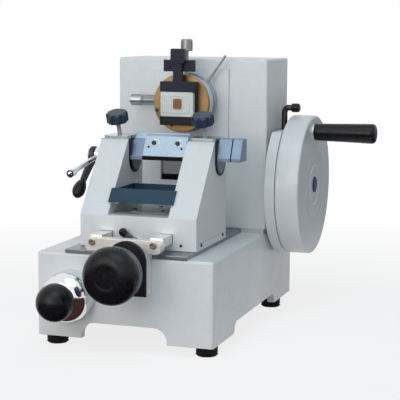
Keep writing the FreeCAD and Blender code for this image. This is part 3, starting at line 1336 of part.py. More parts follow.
def section_tray():
    """Folded tray between the pillars with a leaning front lip."""
    piece = Piece("section_tray")
    left = window_left + at.tray_gap
    right = window_right - at.tray_gap
    tray_top = at.tray_bottom + at.tray_height
    lean = at.pillar_slope_run / (at.pillar_front_top - at.carriage_block_top)
    foot_y = carriage_front + (at.tray_bottom - at.carriage_block_top) * lean - at.tray_lip_gap
    tray_rear = foot_y + at.tray_depth
    body = [
        corner(foot_y - at.overrun, at.tray_bottom),
        corner(tray_rear, at.tray_bottom),
        corner(tray_rear, tray_top),
        corner(foot_y + at.tray_height * lean - at.overrun, tray_top),
    ]
    piece.pad("X", [body], left, right)
    room = [
        corner(foot_y + at.tray_wall, at.tray_bottom + at.tray_wall),
        corner(tray_rear - at.tray_wall, at.tray_bottom + at.tray_wall),
        corner(tray_rear - at.tray_wall, tray_top + at.overrun),
        corner(foot_y + at.tray_wall + at.tray_height * lean, tray_top + at.overrun),
    ]
    piece.pocket("X", [room], left + at.tray_wall, right - at.tray_wall)
    low = at.tray_bottom - at.tray_lip_drop
    high = tray_top + at.tray_lip_rise
    low_y = foot_y - at.tray_lip_drop * lean
    high_y = foot_y + (at.tray_height + at.tray_lip_rise) * lean
    lip = [
        corner(low_y, low),
        corner(high_y, high),
        corner(high_y - at.tray_lip_depth, high),
        corner(low_y - at.tray_lip_depth, low),
    ]
    piece.pad("X", [lip], window_left - at.tray_lip_wings, window_right + at.tray_lip_wings)
    keep("section_tray", piece)


def lock_lever():
    """Carriage clamp: flat lever on a stud, with a black tip."""
    lever = Piece("lock_lever")
    back = -at.lock_boss_length - at.hub_gap
    face = back - at.lock_thickness
    hub = [
        corner(at.lock_stud_depth - at.hub_gap, ZERO),
        corner(at.lock_stud_depth - at.hub_gap, at.lock_stud_radius),
        corner(back, at.lock_stud_radius),
        corner(back, at.lock_hub_radius),
        corner(face + at.knob_edge, at.lock_hub_radius),
        corner(face, at.lock_hub_radius - at.knob_edge),
        corner(face, ZERO),
    ]
    lever.turned("Y", (ZERO, ZERO), hub)
    arm_end = at.lock_length - at.lock_tip_length
    arm = [
        corner(ZERO, -at.lock_arm_root / 2),
        corner(arm_end, -at.lock_arm_end / 2),
        corner(arm_end, at.lock_arm_end / 2),
        corner(ZERO, at.lock_arm_root / 2),
    ]
    lever.pad("Y", [arm], face + at.overrun, back - at.overrun)
    place = (at.lock_x, carriage_front, at.lock_z)
    lever.place(place, "Y", -at.lock_angle)
    keep("lock_lever", lever)

    tip = Piece("lock_tip")
    middle = (face + back) / 2
    outline = [
        corner(arm_end, ZERO),
        corner(arm_end, at.lock_tip_radius - at.knob_edge),
        corner(at.lock_length - at.lock_tip_radius, at.lock_tip_radius),
        bend(at.lock_length, ZERO, at.lock_tip_radius, -1),
    ]
    tip.turned("X", (middle, ZERO), outline)
    tip.place(place, "Y", -at.lock_angle)
    keep("lock_tip", tip)


# Knife holder


def slope(along, inward):
    """A point on the pressure plate's section: up along its slope and in from its front."""
    return (tilt_y - at.plate_front + along * sine(at.plate_lean) + inward * cosine(at.plate_lean),
            at.tilt_z + at.plate_foot + along * cosine(at.plate_lean) - inward * sine(at.plate_lean))


def knife_base():
    """Knife holder: half-round ends in the seats, blade base between them, stub on the right."""
    piece = Piece("knife_base")
    base_left = window_left + at.liner_proud + at.slide_gap
    base_right = window_right - at.liner_proud - at.slide_gap
    play = at.part_line
    inner = slope(-play, at.plate_thickness + play)
    top = slope(at.plate_length - at.blade_proud, at.plate_thickness + play)
    section = [
        corner(tilt_y - at.lip_front, at.tilt_z - at.jaw_bottom),
        corner(tilt_y + at.jaw_rear, at.tilt_z - at.jaw_bottom),
        corner(top[0] + at.jaw_top_width, top[1]),
        corner(*top),
        corner(*inner),
        corner(tilt_y - at.lip_front, at.tilt_z + at.lip_height - play * 2),
    ]
    piece.pad("X", [section], base_left, base_right)
    radius = at.segment_radius
    half_round = [
        corner(tilt_y - radius, at.tilt_z),
        bend(tilt_y, at.tilt_z - radius, radius, 1),
        bend(tilt_y + radius, at.tilt_z, radius, 1),
        corner(tilt_y + at.segment_rear_top, at.tilt_z + at.segment_top),
        corner(tilt_y - at.segment_front_top, at.tilt_z + at.segment_top),
    ]
    left_end = carriage_left - at.liner_proud - at.hub_gap
    right_end = carriage_right + at.liner_proud + at.hub_gap
    piece.pad("X", [half_round], left_end, base_left + at.overrun)
    piece.pad("X", [half_round], base_right - at.overrun, right_end)
    stub_section = [
        corner(tilt_y - at.stub_front, at.tilt_z - at.stub_bottom),
        corner(tilt_y + at.stub_rear, at.tilt_z - at.stub_bottom),
        corner(tilt_y + at.stub_rear, at.tilt_z + at.stub_top),
        corner(tilt_y - at.stub_top_front, at.tilt_z + at.stub_top),
        corner(tilt_y - at.stub_front, at.tilt_z + at.segment_lip),
    ]
    stub_end = right_end + at.stub_length
    block_start = stub_end + at.stub_groove
    piece.pad("X", [stub_section], right_end, stub_end)
    piece.pad("X", [circle(tilt_y, at.tilt_z + at.neck_height, at.neck_radius)], stub_end - at.overrun, block_start + at.overrun)
    piece.pad("X", [stub_section], block_start, block_start + at.end_block_length)
    spindle = circle(tilt_y, at.tilt_z, at.pivot_stub + at.fit)
    piece.pocket("X", [spindle], left_end - at.overrun, left_end + at.pivot_depth)
    keep("knife_base", piece)


def pressure_plate():
    """Leaning plate that holds the blade, with a sharp upper edge."""
    piece = Piece("pressure_plate")
    thick = at.plate_thickness
    section = [
        corner(*slope(ZERO, ZERO)),
        corner(*slope(ZERO, thick)),
        corner(*slope(at.plate_length, thick)),
        corner(*slope(at.plate_length, thick - at.plate_edge)),
        corner(*slope(at.plate_length - at.plate_bevel, ZERO)),
    ]
    piece.pad("X", [section], at.carriage_x - at.plate_left, at.carriage_x + at.plate_right)
    keep("pressure_plate", piece)


def blade():
    """Disposable blade between pressure plate and base, its edge uppermost."""
    piece = Piece("blade")
    back = at.plate_thickness
    heel = at.plate_length + at.blade_proud - at.blade_width
    tip = at.plate_length + at.blade_proud
    section = [
        corner(*slope(heel, back)),
        corner(*slope(heel, back + at.blade_thickness)),
        corner(*slope(tip - at.blade_bevel, back + at.blade_thickness)),
        corner(*slope(tip, back + at.blade_thickness / 2)),
        corner(*slope(tip - at.blade_bevel, back)),
    ]
    piece.pad("X", [section], window_left + at.blade_inset, window_right - at.blade_inset)
    keep("blade", piece)


def plate_screws():
    """Two screws on the front of the pressure plate."""
    screws = []
    middle_y, middle_z = slope(at.plate_screw_along, ZERO)
    for i, place in enumerate((at.plate_screw_left, at.plate_screw_right)):
        screw = Piece(f"plate_screw_{i}")
        outline = [
            corner(ZERO, ZERO),
            corner(ZERO, at.plate_screw_radius),
            corner(at.plate_screw_height - at.knob_edge / 2, at.plate_screw_radius),
            corner(at.plate_screw_height, at.plate_screw_radius - at.knob_edge / 2),
            corner(at.plate_screw_height, ZERO),
        ]
        screw.turned("Z", (ZERO, ZERO), outline)
        half = at.plate_screw_slot / 2
        slot = rectangle(-at.plate_screw_radius * 2, -half, at.plate_screw_radius * 2, half)
        screw.pocket("Z", [slot], at.plate_screw_height / 2, at.plate_screw_height + at.overrun)
        screw.place((at.carriage_x + place, middle_y, middle_z), "X", at.square_turn - at.plate_lean)
        screws.append(screw)
    keep("plate_screws", group("plate_screws", screws))


def lever_spindle():
    """Spindle on the holder's left end that carries both levers."""
    piece = Piece("lever_spindle")
    start = carriage_left - at.liner_proud - at.hub_gap
    collar = start - at.pivot_collar_length
    tail = collar - at.hub_gap * 3 - at.clamp_hub_length - at.tilt_hub_length
    outline = [
        corner(start + at.pivot_depth - at.fit, ZERO),
        corner(tail - at.pivot_cap, ZERO),
        corner(tail - at.pivot_cap, at.pivot_cap_radius - at.knob_edge),
        corner(tail - at.pivot_cap + at.knob_edge, at.pivot_cap_radius),
        corner(tail, at.pivot_cap_radius),
        corner(tail, at.pivot_radius),
        corner(collar, at.pivot_radius),
        corner(collar, at.pivot_collar),
        corner(start, at.pivot_collar),
        corner(start, at.pivot_stub),
        corner(start + at.pivot_depth - at.fit, at.pivot_stub),
    ]
    piece.turned("X", (tilt_y, at.tilt_z), outline)
    keep("lever_spindle", piece)


def hub_outline(low, high, radius, bore):
    """A plain ring with broken outer edges."""
    return [
        corner(low, bore),
        corner(low, radius - at.knob_edge),
        corner(low + at.knob_edge, radius),
        corner(high - at.knob_edge, radius),
        corner(high, radius - at.knob_edge),
        corner(high, bore),
    ]


def blade_clamp_lever():
    """Bright lever with a tube end that clamps the blade."""
    piece = Piece("blade_clamp_lever")
    start = carriage_left - at.liner_proud - at.hub_gap * 2 - at.pivot_collar_length
    end = start - at.clamp_hub_length
    bore = at.pivot_radius + at.fit
    piece.turned("X", (ZERO, ZERO), hub_outline(end, start, at.clamp_hub_radius, bore))
    middle = (start + end) / 2
    rod_end = -at.clamp_rod_length + at.clamp_end_length
    rod = circle(middle, ZERO, at.clamp_rod_radius)
    piece.pad("Y", [rod], rod_end, -at.clamp_hub_radius + at.overrun)
    tube = [
        corner(-at.clamp_rod_length, at.clamp_end_bore),
        corner(-at.clamp_rod_length, at.clamp_end_radius),
        corner(rod_end + at.overrun, at.clamp_end_radius),
        corner(rod_end + at.clamp_end_radius, at.clamp_rod_radius),
        corner(rod_end + at.clamp_end_radius, ZERO),
        corner(rod_end + at.overrun, ZERO),
        corner(rod_end + at.overrun, at.clamp_end_bore),
    ]
    piece.turned("Y", (middle, ZERO), tube)
    piece.place((ZERO, tilt_y, at.tilt_z), "X", at.clamp_rod_drop)
    keep("blade_clamp_lever", piece)


def tilt_clamp_lever():
    """Flat dark lever with an egg-shaped grip that clamps the knife's tilt."""
    arm = Piece("tilt_clamp_lever")
    start = carriage_left - at.liner_proud - at.hub_gap * 3 - at.pivot_collar_length - at.clamp_hub_length
    end = start - at.tilt_hub_length
    middle = (start + end) / 2
    bore = at.pivot_radius + at.fit
    arm.turned("X", (ZERO, ZERO), hub_outline(end, start, at.tilt_hub_radius, bore))
    root_y = -at.pivot_radius - at.overrun
    outline = [
        corner(root_y, -at.tilt_arm_root / 2),
        corner(root_y, at.tilt_arm_root / 2),
        corner(-at.tilt_arm_length, at.tilt_arm_tip / 2),
        corner(-at.tilt_arm_length, -at.tilt_arm_tip / 2),
    ]
    half = at.tilt_arm_thickness / 2
    arm.pad("X", [outline], middle - half, middle + half)
    pin = circle(middle, ZERO, at.grip_pin)
    arm.pad("Y", [pin], -at.tilt_arm_length - at.grip_length * 2 / 3, -at.tilt_arm_length + at.overrun)
    place = (ZERO, tilt_y, at.tilt_z)
    arm.place(place, "X", at.tilt_arm_drop)
    keep("tilt_clamp_lever", arm)

    grip = Piece("lever_grip")
    foot = -at.tilt_arm_length
    tip = foot - at.grip_length
    widest = foot - at.grip_length * at.grip_widest_share
    pin_end = -at.tilt_arm_length - at.grip_length * 2 / 3 - at.fit
    outline = [
        corner(foot, at.grip_pin + at.fit),
        corner(foot, at.grip_neck),
        bend(widest, at.grip_radius, at.grip_rear_curve, 1),
        bend(tip + at.grip_nose_inset, at.grip_nose, at.grip_front_curve, 1),
        bend(tip, ZERO, at.grip_nose_curve, 1),
        corner(pin_end, ZERO),
        corner(pin_end, at.grip_pin + at.fit),
    ]
    grip.turned("Y", (middle, ZERO), outline)
    grip.place(place, "X", at.tilt_arm_drop)
    keep("lever_grip", grip)


# Column and vertical slide


def column_cover():
    """Painted housing on a recessed plinth, open in front for the slide."""
    piece = Piece("column_cover")
    inset = at.plinth_inset
    piece.pad("Z", [rectangle(column_left, column_front, column_right, column_rear)], column_bottom, at.column_top)
    piece.edges("Fillet", at.column_round, outer_upright(column_left, column_right, column_front, column_rear))
    piece.edges("Fillet", at.column_round, level_edge_at(at.column_top))
    wall = at.column_wall
    room = rectangle(column_left + wall, column_front + wall, column_right - wall, column_rear - wall)
    piece.pocket("Z", [room], column_bottom - at.overrun, at.column_top - wall)
    plinth = rectangle(column_left + inset, column_front + inset, column_right - inset, column_rear - inset)
    piece.pad("Z", [plinth], at.base_top, column_bottom)
    opening = rectangle(opening_left, at.opening_bottom, opening_right, at.opening_top)
    piece.pocket("Y", [opening], column_front - at.overrun, column_front + wall + at.overrun / 2)
    hole = circle(wheel_y, at.wheel_z, at.drum_bore)
    piece.pocket("X", [hole], column_right - wall - at.overrun, column_right + at.overrun)
    keep("column_cover", piece)


def column_frame():
    """Inner frame: grooved uprights for the slide and the pedestal of the main shaft."""
    piece = Piece("column_frame")
    near = column_front + at.column_wall
    far = slide_rear - at.hub_gap
    left = opening_left - at.guide_width
    right = opening_right + at.guide_width
    pedestal_right = column_right - at.column_wall - at.pedestal_gap
    pedestal_left = pedestal_right - at.pedestal_length
    pedestal_rear = wheel_y + at.pedestal_depth / 2
    pedestal_front = wheel_y - at.pedestal_depth / 2
    slab_top = column_bottom + at.frame_slab
    piece.pad("Z", [rectangle(left, near, pedestal_right, pedestal_rear)], column_bottom, slab_top)
    uprights = [rectangle(left, near, opening_left, far), rectangle(opening_right, near, right, far)]
    piece.pad("Z", uprights, slab_top - at.overrun, at.guide_top)
    piece.pad("Z", [rectangle(left, near, right, far)], at.guide_top - at.overrun, at.guide_top + at.guide_bridge)
    tongue_front = slide_front + (at.slide_thickness - at.tongue_depth) / 2 - at.side_play
    tongue_rear = tongue_front + at.tongue_depth + at.side_play * 2
    reach = at.tongue + at.side_play
    grooves = [rectangle(opening_left - reach, tongue_front, opening_left + at.overrun, tongue_rear),
               rectangle(opening_right - at.overrun, tongue_front, opening_right + reach, tongue_rear)]
    piece.pocket("Z", grooves, slab_top, at.guide_top)
    pedestal = arch(wheel_y, at.pedestal_depth, slab_top - at.overrun, at.wheel_z + at.pedestal_above, at.pedestal_corner)
    piece.pad("X", [pedestal], pedestal_left, pedestal_right)
    bore = circle(wheel_y, at.wheel_z, at.shaft_radius + at.fit)
    piece.pocket("X", [bore], pedestal_left - at.overrun, pedestal_right + at.overrun)
    keep("column_frame", piece)


def slide_block():
    """Vertical slide with side tongues, bored for the feed quill."""
    piece = Piece("slide_block")
    left = opening_left + at.side_play
    right = opening_right - at.side_play
    piece.pad("Z", [rectangle(left, slide_front, right, slide_rear)], at.slide_bottom, at.slide_top)
    tongue_front = slide_front + (at.slide_thickness - at.tongue_depth) / 2
    tongue_rear = tongue_front + at.tongue_depth
    piece.pad("Z", [rectangle(left - at.tongue, tongue_front, right + at.tongue, tongue_rear)], at.slide_bottom, at.slide_top)
    bore = circle(column_x, at.head_z, at.quill_radius + at.fit)
    piece.pocket("Y", [bore], slide_front - at.overrun, slide_rear + at.overrun)
    keep("slide_block", piece)


def face_plate():
    """Cover plate that rides up and down in front of the column with the slide."""
    piece = Piece("face_plate")
    plate_rear = column_front - at.face_plate_gap
    plate_front = plate_rear - at.face_plate_thickness
    half = at.face_plate_width / 2
    plate = rectangle(column_x - half, at.face_plate_bottom, column_x + half, at.face_plate_top)
    piece.pad("Y", [plate], plate_front, plate_rear)
    spread = at.opening_width / 2 - at.spacer_inset - at.spacer_radius
    high = at.opening_top - at.spacer_drop
    spacers = []
    for side in (-1, 1):
        for height in (high, high - at.spacer_pitch):
            spacers.append(circle(column_x + side * spread, height, at.spacer_radius))
    piece.pad("Y", spacers, plate_rear - at.overrun, slide_front)
    hole = circle(column_x, at.head_z, at.quill_radius + at.slide_gap)
    piece.pocket("Y", [hole], plate_front - at.overrun, slide_front + at.overrun)
    keep("face_plate", piece)


def crank_yoke():
    """Fork behind the slide in which the crank roller would run."""
    piece = Piece("crank_yoke")
    pin_z = at.wheel_z + at.throw
    half_slot = at.roller_radius + at.fork_clear
    fork_right = crank_face() - at.roller_gap * 2 - at.roller_length
    fork_left = fork_right - at.fork_thickness
    fork_front = column_front + at.fork_front
    fork_rear = column_front + at.fork_rear
    reach = half_slot + at.fork_bar
    fork = [
        corner(fork_front, pin_z - reach),
        corner(fork_rear, pin_z - reach),
        corner(fork_rear, pin_z - half_slot),
        corner(fork_front + at.fork_bar, pin_z - half_slot),
        corner(fork_front + at.fork_bar, pin_z + half_slot),
        corner(fork_rear, pin_z + half_slot),
        corner(fork_rear, pin_z + reach),
        corner(fork_front, pin_z + reach),
    ]
    piece.pad("X", [fork], fork_left, fork_right)
    lug = rectangle(slide_rear, pin_z - reach, fork_front + at.fork_bar, pin_z + reach)
    piece.pad("X", [lug], opening_right - at.fork_bar, fork_left + at.overrun)
    keep("crank_yoke", piece)


def crank_face():
    """Left face of the crank disc."""
    pedestal_left = column_right - at.column_wall - at.pedestal_gap - at.pedestal_length
    return pedestal_left - at.crank_gap - at.crank_thickness


def feed_bridge():
    """Bridge behind the slide that holds the ratchet nut."""
    piece = Piece("feed_bridge")
    near = column_front + at.bridge_front
    far = near + at.bridge_thickness
    half = at.opening_width / 2 - at.overrun
    low = at.head_z - at.bridge_half_height
    high = at.head_z + at.bridge_half_height
    piece.pad("Y", [rectangle(column_x - half, low, column_x + half, high)], near, far)
    for side in (-1, 1):
        inner = column_x + side * (half - at.bridge_arm)
        outer = column_x + side * half
        plan = rectangle(inner if side > 0 else outer, slide_rear, outer if side > 0 else inner, near + at.overrun)
        piece.pad("Z", [plan], low, high)
    bore = circle(column_x, at.head_z, at.nut_sleeve_radius + at.fit)
    piece.pocket("Y", [bore], near - at.overrun, far + at.overrun)
    keep("feed_bridge", piece)


def ratchet_wheel():
    """Toothed nut that draws the feed screw."""
    piece = Piece("ratchet_wheel")
    near = column_front + at.bridge_front
    face = near + at.bridge_thickness + at.roller_gap
    back = face + at.ratchet_thickness
    bore = at.feed_screw_radius + at.thread_play
    outline = [
        corner(near, bore),
        corner(near, at.nut_sleeve_radius),
        corner(face, at.nut_sleeve_radius),
        corner(face, at.ratchet_radius),
        corner(back, at.ratchet_radius),
        corner(back, bore),
    ]
    piece.turned("Y", (ZERO, ZERO), outline)
    floor = at.ratchet_radius - at.ratchet_tooth_depth
    tooth = [
        corner(-at.ratchet_gullet / 2, floor),
        corner(at.ratchet_gullet / 2, at.ratchet_radius + at.overrun),
        corner(-at.ratchet_gullet / 2, at.ratchet_radius + at.overrun),
    ]
    cut = piece.pocket("Y", [tooth], face - at.overrun, back + at.overrun)
    piece.around(cut, at.ratchet_teeth, "Y")
    piece.place((column_x, ZERO, at.head_z))
    keep("ratchet_wheel", piece)


# Specimen head


def quill():
    """White feed quill with a socket in front and a bore behind."""
    piece = Piece("feed_quill")
    near = column_front - at.quill_front
    far = column_front + at.quill_rear
    socket_end = ball_y + at.socket_radius
    outline = [
        corner(socket_end, at.feed_screw_radius + at.fit),
        corner(socket_end, at.socket_radius),
        corner(near, at.socket_radius),
        corner(near, at.quill_radius - at.quill_round),
        bend(near + at.quill_round, at.quill_radius, at.quill_round, -1),
        corner(far, at.quill_radius),
        corner(far, at.quill_bore),
        corner(socket_end + at.quill_wall, at.quill_bore),
        corner(socket_end + at.quill_wall, at.feed_screw_radius + at.fit),
    ]
    piece.turned("Y", (column_x, at.head_z), outline)
    upright = circle(column_x, ball_y, at.tilt_screw_radius + at.fit)
    piece.pocket("Z", [upright], at.head_z, at.head_z + at.quill_radius + at.overrun)
    level = circle(ball_y, at.head_z + at.swivel_rise, at.swivel_screw_radius + at.fit)
    piece.pocket("X", [level], column_x - at.quill_radius - at.overrun, column_x)
    keep("feed_quill", piece)


def ball_stud():
    """Ball of the orientation joint on the front of the feed screw."""
    piece = Piece("ball_stud")
    radius = at.ball_joint_radius
    stem = at.feed_screw_radius
    collar = ball_y + at.socket_radius
    meet = ball_y + root(radius * radius - stem * stem)
    outline = [
        corner(ball_y - radius, ZERO),
        bend(ball_y, radius, radius, -1),
        bend(meet, stem, radius, -1),
        corner(collar - at.stud_collar, stem),
        corner(collar - at.stud_collar, at.stud_collar_radius),
        corner(collar, at.stud_collar_radius),
        corner(collar, stem),
        corner(column_front + at.feed_screw_rear, stem),
        corner(column_front + at.feed_screw_rear, ZERO),
    ]
    piece.turned("Y", (column_x, at.head_z), outline)
    keep("ball_stud", piece)


def gimbal_ring():
    """Ring round the ball, inside the socket."""
    piece = Piece("gimbal_ring")
    half = at.gimbal_length / 2
    outline = [
        corner(ball_y - half, at.ball_joint_radius + at.ball_gap),
        corner(ball_y - half, at.gimbal_radius),
        corner(ball_y + half, at.gimbal_radius),
        corner(ball_y + half, at.ball_joint_radius + at.ball_gap),
    ]
    piece.turned("Y", (column_x, at.head_z), outline)
    keep("gimbal_ring", piece)


def brass_disc():
    """Brass orientation disc with a cup over the ball."""
    piece = Piece("brass_disc")
    hollow = at.ball_joint_radius + at.ball_gap
    back = disc_front + at.disc_thickness
    cup_end = ball_y - at.cup_short
    mouth = root(hollow * hollow - at.cup_short * at.cup_short)
    outline = [
        corner(disc_front, ZERO),
        corner(disc_front, at.disc_radius - at.disc_chamfer),
        corner(disc_front + at.disc_chamfer, at.disc_radius),
        corner(back - at.disc_chamfer, at.disc_radius),
        corner(back, at.disc_radius - at.disc_chamfer),
        corner(back, at.cup_radius),
        corner(cup_end, at.cup_radius),
        corner(cup_end, mouth),
        bend(ball_y - hollow, ZERO, hollow, 1),
    ]
    piece.turned("Y", (column_x, at.head_z), outline)
    keep("brass_disc", piece)


def cassette_clamp():
    """Black clamp: back plate, lower jaw and the lug for the upper jaw."""
    piece = Piece("cassette_clamp")
    left = column_x - at.clamp_width / 2
    right = column_x + at.clamp_width / 2
    low = at.head_z - at.clamp_bottom
    jaw_top = low + at.jaw_thickness
    back_top = jaw_top + at.cassette_height - at.back_plate_short
    plate_front = clamp_front + at.cassette_thickness
    profile = [
        corner(clamp_front, low),
        corner(disc_front, low),
        corner(disc_front, back_top),
        corner(plate_front, back_top),
        corner(plate_front, jaw_top),
        corner(clamp_front, jaw_top),
    ]
    piece.pad("X", [profile], left, right)
    hinge_y = clamp_front + at.hinge_setback
    hinge_z = jaw_top + at.cassette_height + at.hinge_above
    lug = [
        corner(hinge_y - at.lug_radius, back_top - at.overrun),
        corner(hinge_y + at.lug_radius, back_top - at.overrun),
        corner(hinge_y + at.lug_radius, hinge_z),
        bend(hinge_y, hinge_z + at.lug_radius, at.lug_radius, 1),
        bend(hinge_y - at.lug_radius, hinge_z, at.lug_radius, 1),
    ]
    half = at.lug_width / 2
    piece.pad("X", [lug], column_x - half, column_x + half)
    pin = circle(hinge_y, hinge_z, at.jaw_pin + at.fit)
    piece.pocket("X", [pin], column_x - half - at.overrun, column_x + half + at.overrun)
    keep("cassette_clamp", piece)


def upper_jaw():
    """Hinged upper jaw with its finger block, bar and crosspiece."""
    piece = Piece("upper_jaw")
    left = column_x - at.clamp_width / 2
    right = column_x + at.clamp_width / 2
    cassette_top = at.head_z - at.clamp_bottom + at.jaw_thickness + at.cassette_height
    low = cassette_top + at.jaw_gap
    high = at.head_z + at.clamp_top
    hinge_y = clamp_front + at.hinge_setback
    hinge_z = cassette_top + at.hinge_above
    jaw_rear = hinge_y + at.jaw_behind
    piece.pad("Z", [rectangle(left, clamp_front, right, jaw_rear)], low, high)
    notch_front = hinge_y - at.lug_radius - at.notch_room
    notch = at.lug_width / 2 + at.jaw_gap
    plan = rectangle(column_x - notch, notch_front, column_x + notch, jaw_rear + at.overrun)
    piece.pocket("Z", [plan], low - at.overrun, high + at.overrun)
    pin = circle(hinge_y, hinge_z, at.jaw_pin)
    piece.pad("X", [pin], column_x - notch - at.overrun, column_x + notch + at.overrun)
    bar_front = clamp_front + at.jaw_bar_setback
    bar_rear = bar_front + at.jaw_bar_depth
    half = at.jaw_bar_width / 2
    bar = rectangle(column_x - half, bar_front, column_x + half, bar_rear)
    piece.pad("Z", [bar], high - at.overrun, at.head_z + at.jaw_bar_top)
    half = at.cross_width / 2
    cross = rectangle(column_x - half, bar_rear - at.overrun, column_x + half, bar_rear + at.cross_depth)
    piece.pad("Z", [cross], at.head_z + at.cross_bottom, at.head_z + at.cross_bottom + at.cross_height)
    half = at.jaw_block_width / 2
    block = rectangle(column_x - half, bar_front - at.block_proud, column_x + half, bar_rear)
    piece.pad("Z", [block], at.head_z + at.jaw_block_bottom, at.head_z + at.jaw_block_top)
    piece.edges("Fillet", at.block_round, level_edge_at(at.head_z + at.jaw_block_top))
    keep("upper_jaw", piece)


def cassette():
    """Specimen cassette with its tissue block."""
    piece = Piece("cassette")
    half = at.cassette_width / 2
    low = at.head_z - at.clamp_bottom + at.jaw_thickness
    high = low + at.cassette_height
    plate = rounded(column_x - half, low, column_x + half, high, at.cassette_corner)
    piece.pad("Y", [plate], clamp_front, clamp_front + at.cassette_thickness)
    keep("cassette", piece)

    block = Piece("tissue_block")
    middle_x = column_x + at.wax_side
    middle_z = at.head_z + at.wax_rise
    half = at.wax_width / 2
    tall = at.wax_height / 2
    shape = rounded(middle_x - half, middle_z - tall, middle_x + half, middle_z + tall, at.wax_corner)
    block.pad("Y", [shape], clamp_front - at.wax_proud, clamp_front)
    keep("tissue_block", block)


def orientation_screws():
    """Upright and level screws that set the specimen's tilt and swivel."""
    tilt = Piece("tilt_screw")
    top = at.head_z + at.tilt_knob_top
    foot = top - at.tilt_knob_length
    end = at.head_z + at.socket_radius + at.overrun
    outline = [
        corner(end, ZERO),
        corner(end, at.tilt_screw_radius),
        corner(foot, at.tilt_screw_radius),
        corner(foot, at.tilt_knob_radius - at.knob_edge),
        corner(foot + at.knob_edge, at.tilt_knob_radius),
        corner(top - at.knob_edge, at.tilt_knob_radius),
        corner(top, at.tilt_knob_radius - at.knob_edge),
        corner(top, ZERO),
    ]
    tilt.turned("Z", (column_x, ball_y), outline)
    keep("tilt_screw", tilt)

    swivel = Piece("swivel_screw")
    far = column_x - at.swivel_knob_end
    foot = far + at.swivel_knob_length
    end = column_x - at.socket_radius - at.overrun
    outline = [
        corner(end, ZERO),
        corner(end, at.swivel_screw_radius),
        corner(foot, at.swivel_screw_radius),
        corner(foot, at.swivel_knob_radius - at.knob_edge),
        corner(foot - at.knob_edge, at.swivel_knob_radius),
        corner(far + at.knob_edge, at.swivel_knob_radius),
        corner(far, at.swivel_knob_radius - at.knob_edge),
        corner(far, ZERO),
    ]
    swivel.turned("X", (ball_y, at.head_z + at.swivel_rise), outline)
    keep("swivel_screw", swivel)


def lock_ring():
    """Clamp ring round the quill with its leaning rod."""
    piece = Piece("lock_ring")
    near = column_front - at.ring_ahead
    far = near + at.ring_length
    outline = [
        corner(near, at.quill_radius + at.fit),
        corner(near, at.ring_outer),
        corner(far, at.ring_outer),
        corner(far, at.quill_radius + at.fit),
    ]
    piece.turned("Y", (ZERO, ZERO), outline)
    middle = (near + far) / 2
    start = at.quill_radius + at.ring_skin
    boss = circle(at.rod_offset, middle, at.rod_boss)
    piece.pad("Z", [boss], start, at.ring_outer + at.rod_boss)
    rod = circle(at.rod_offset, middle, at.rod_radius)
    piece.pad("Z", [rod], start, start + at.rod_length)
    piece.edges("Fillet", at.rod_radius * at.rod_end_share, level_edge_at(start + at.rod_length))
    piece.place((column_x, ZERO, at.head_z), "Y", at.rod_lean)
    keep("lock_ring", piece)


# Handwheel side


def brake_drum():
    """Fixed drum beside the column with a flat on top."""
    piece = Piece("brake_drum")
    outline = [
        corner(column_right, at.drum_bore),
        corner(column_right, at.drum_neck),
        corner(drum_left, at.drum_neck),
        corner(drum_left, at.wheel_radius - at.drum_round),
        bend(drum_left + at.drum_round, at.wheel_radius, at.drum_round, -1),
        corner(drum_right, at.wheel_radius),
        corner(drum_right, at.drum_bore),
    ]
    piece.turned("X", (wheel_y, at.wheel_z), outline)
    flat = at.wheel_z + at.drum_flat
    cut = rectangle(wheel_y - at.wheel_radius, flat, wheel_y + at.wheel_radius, at.wheel_z + at.wheel_radius + at.overrun)
    piece.pocket("X", [cut], column_right - at.overrun, drum_right + at.overrun)
    bore = circle(drum_left + at.brake_x, wheel_y - at.brake_setback, at.brake_rod_radius + at.fit)
    piece.pocket("Z", [bore], flat - at.brake_depth, flat + at.overrun)
    keep("brake_drum", piece)


def brake_lever():
    """Bent brake lever: a rod swept up and over, with its black knob."""
    piece = Piece("brake_lever")
    place_x = drum_left + at.brake_x
    place_y = wheel_y - at.brake_setback
    flat = at.wheel_z + at.drum_flat
    foot = flat - at.brake_depth + at.hub_gap
    bend_z = flat + at.brake_height
    section = piece.sketch("Z", (place_x, place_y, foot))
    draw(section, [circle(ZERO, ZERO, at.brake_rod_radius)])
    path = piece.sketch("Y", (place_x, foot, -place_y))
    rise = bend_z - foot
    turn = at.brake_bend
    points = [(ZERO, ZERO), (ZERO, rise - turn), (turn, rise), (at.brake_reach, rise)]
    vectors = [FreeCAD.Vector(u.number, v.number, 0) for u, v in points]
    path.addGeometry(Part.LineSegment(vectors[0], vectors[1]))
    path.addGeometry(arc_between(vectors[1], vectors[2], turn.number, -1))
    path.addGeometry(Part.LineSegment(vectors[2], vectors[3]))
    for index, (u, v) in ((0, points[1]), (2, points[3])):
        bind(path, "DistanceX", -1, 1, index, 2, measure(u))
        bind(path, "DistanceY", -1, 1, index, 2, measure(v))
    bind(path, "DistanceX", -1, 1, 0, 1, ZERO)
    bind(path, "DistanceY", -1, 1, 0, 1, ZERO)
    bind(path, "DistanceX", -1, 1, 2, 1, turn)
    bind(path, "DistanceY", -1, 1, 2, 1, rise)
    sweep = piece.body.newObject("PartDesign::AdditivePipe", "brake_lever_sweep")
    sweep.Profile = section
    sweep.Spine = (path, [])
    piece.done(sweep)
    keep("brake_lever", piece)

    knob = Piece("brake_knob")
    start = place_x + at.brake_reach
    end = start + at.brake_knob_length
    outline = [
        corner(start, ZERO),
        corner(start, at.brake_knob_radius - at.knob_edge),
        corner(start + at.knob_edge, at.brake_knob_radius),
        corner(end - at.knob_edge * 2, at.brake_knob_radius),
        corner(end, at.brake_knob_radius - at.knob_edge * 2),
        corner(end, ZERO),
    ]
    knob.turned("X", (place_y, bend_z), outline)
    keep("brake_knob", knob)


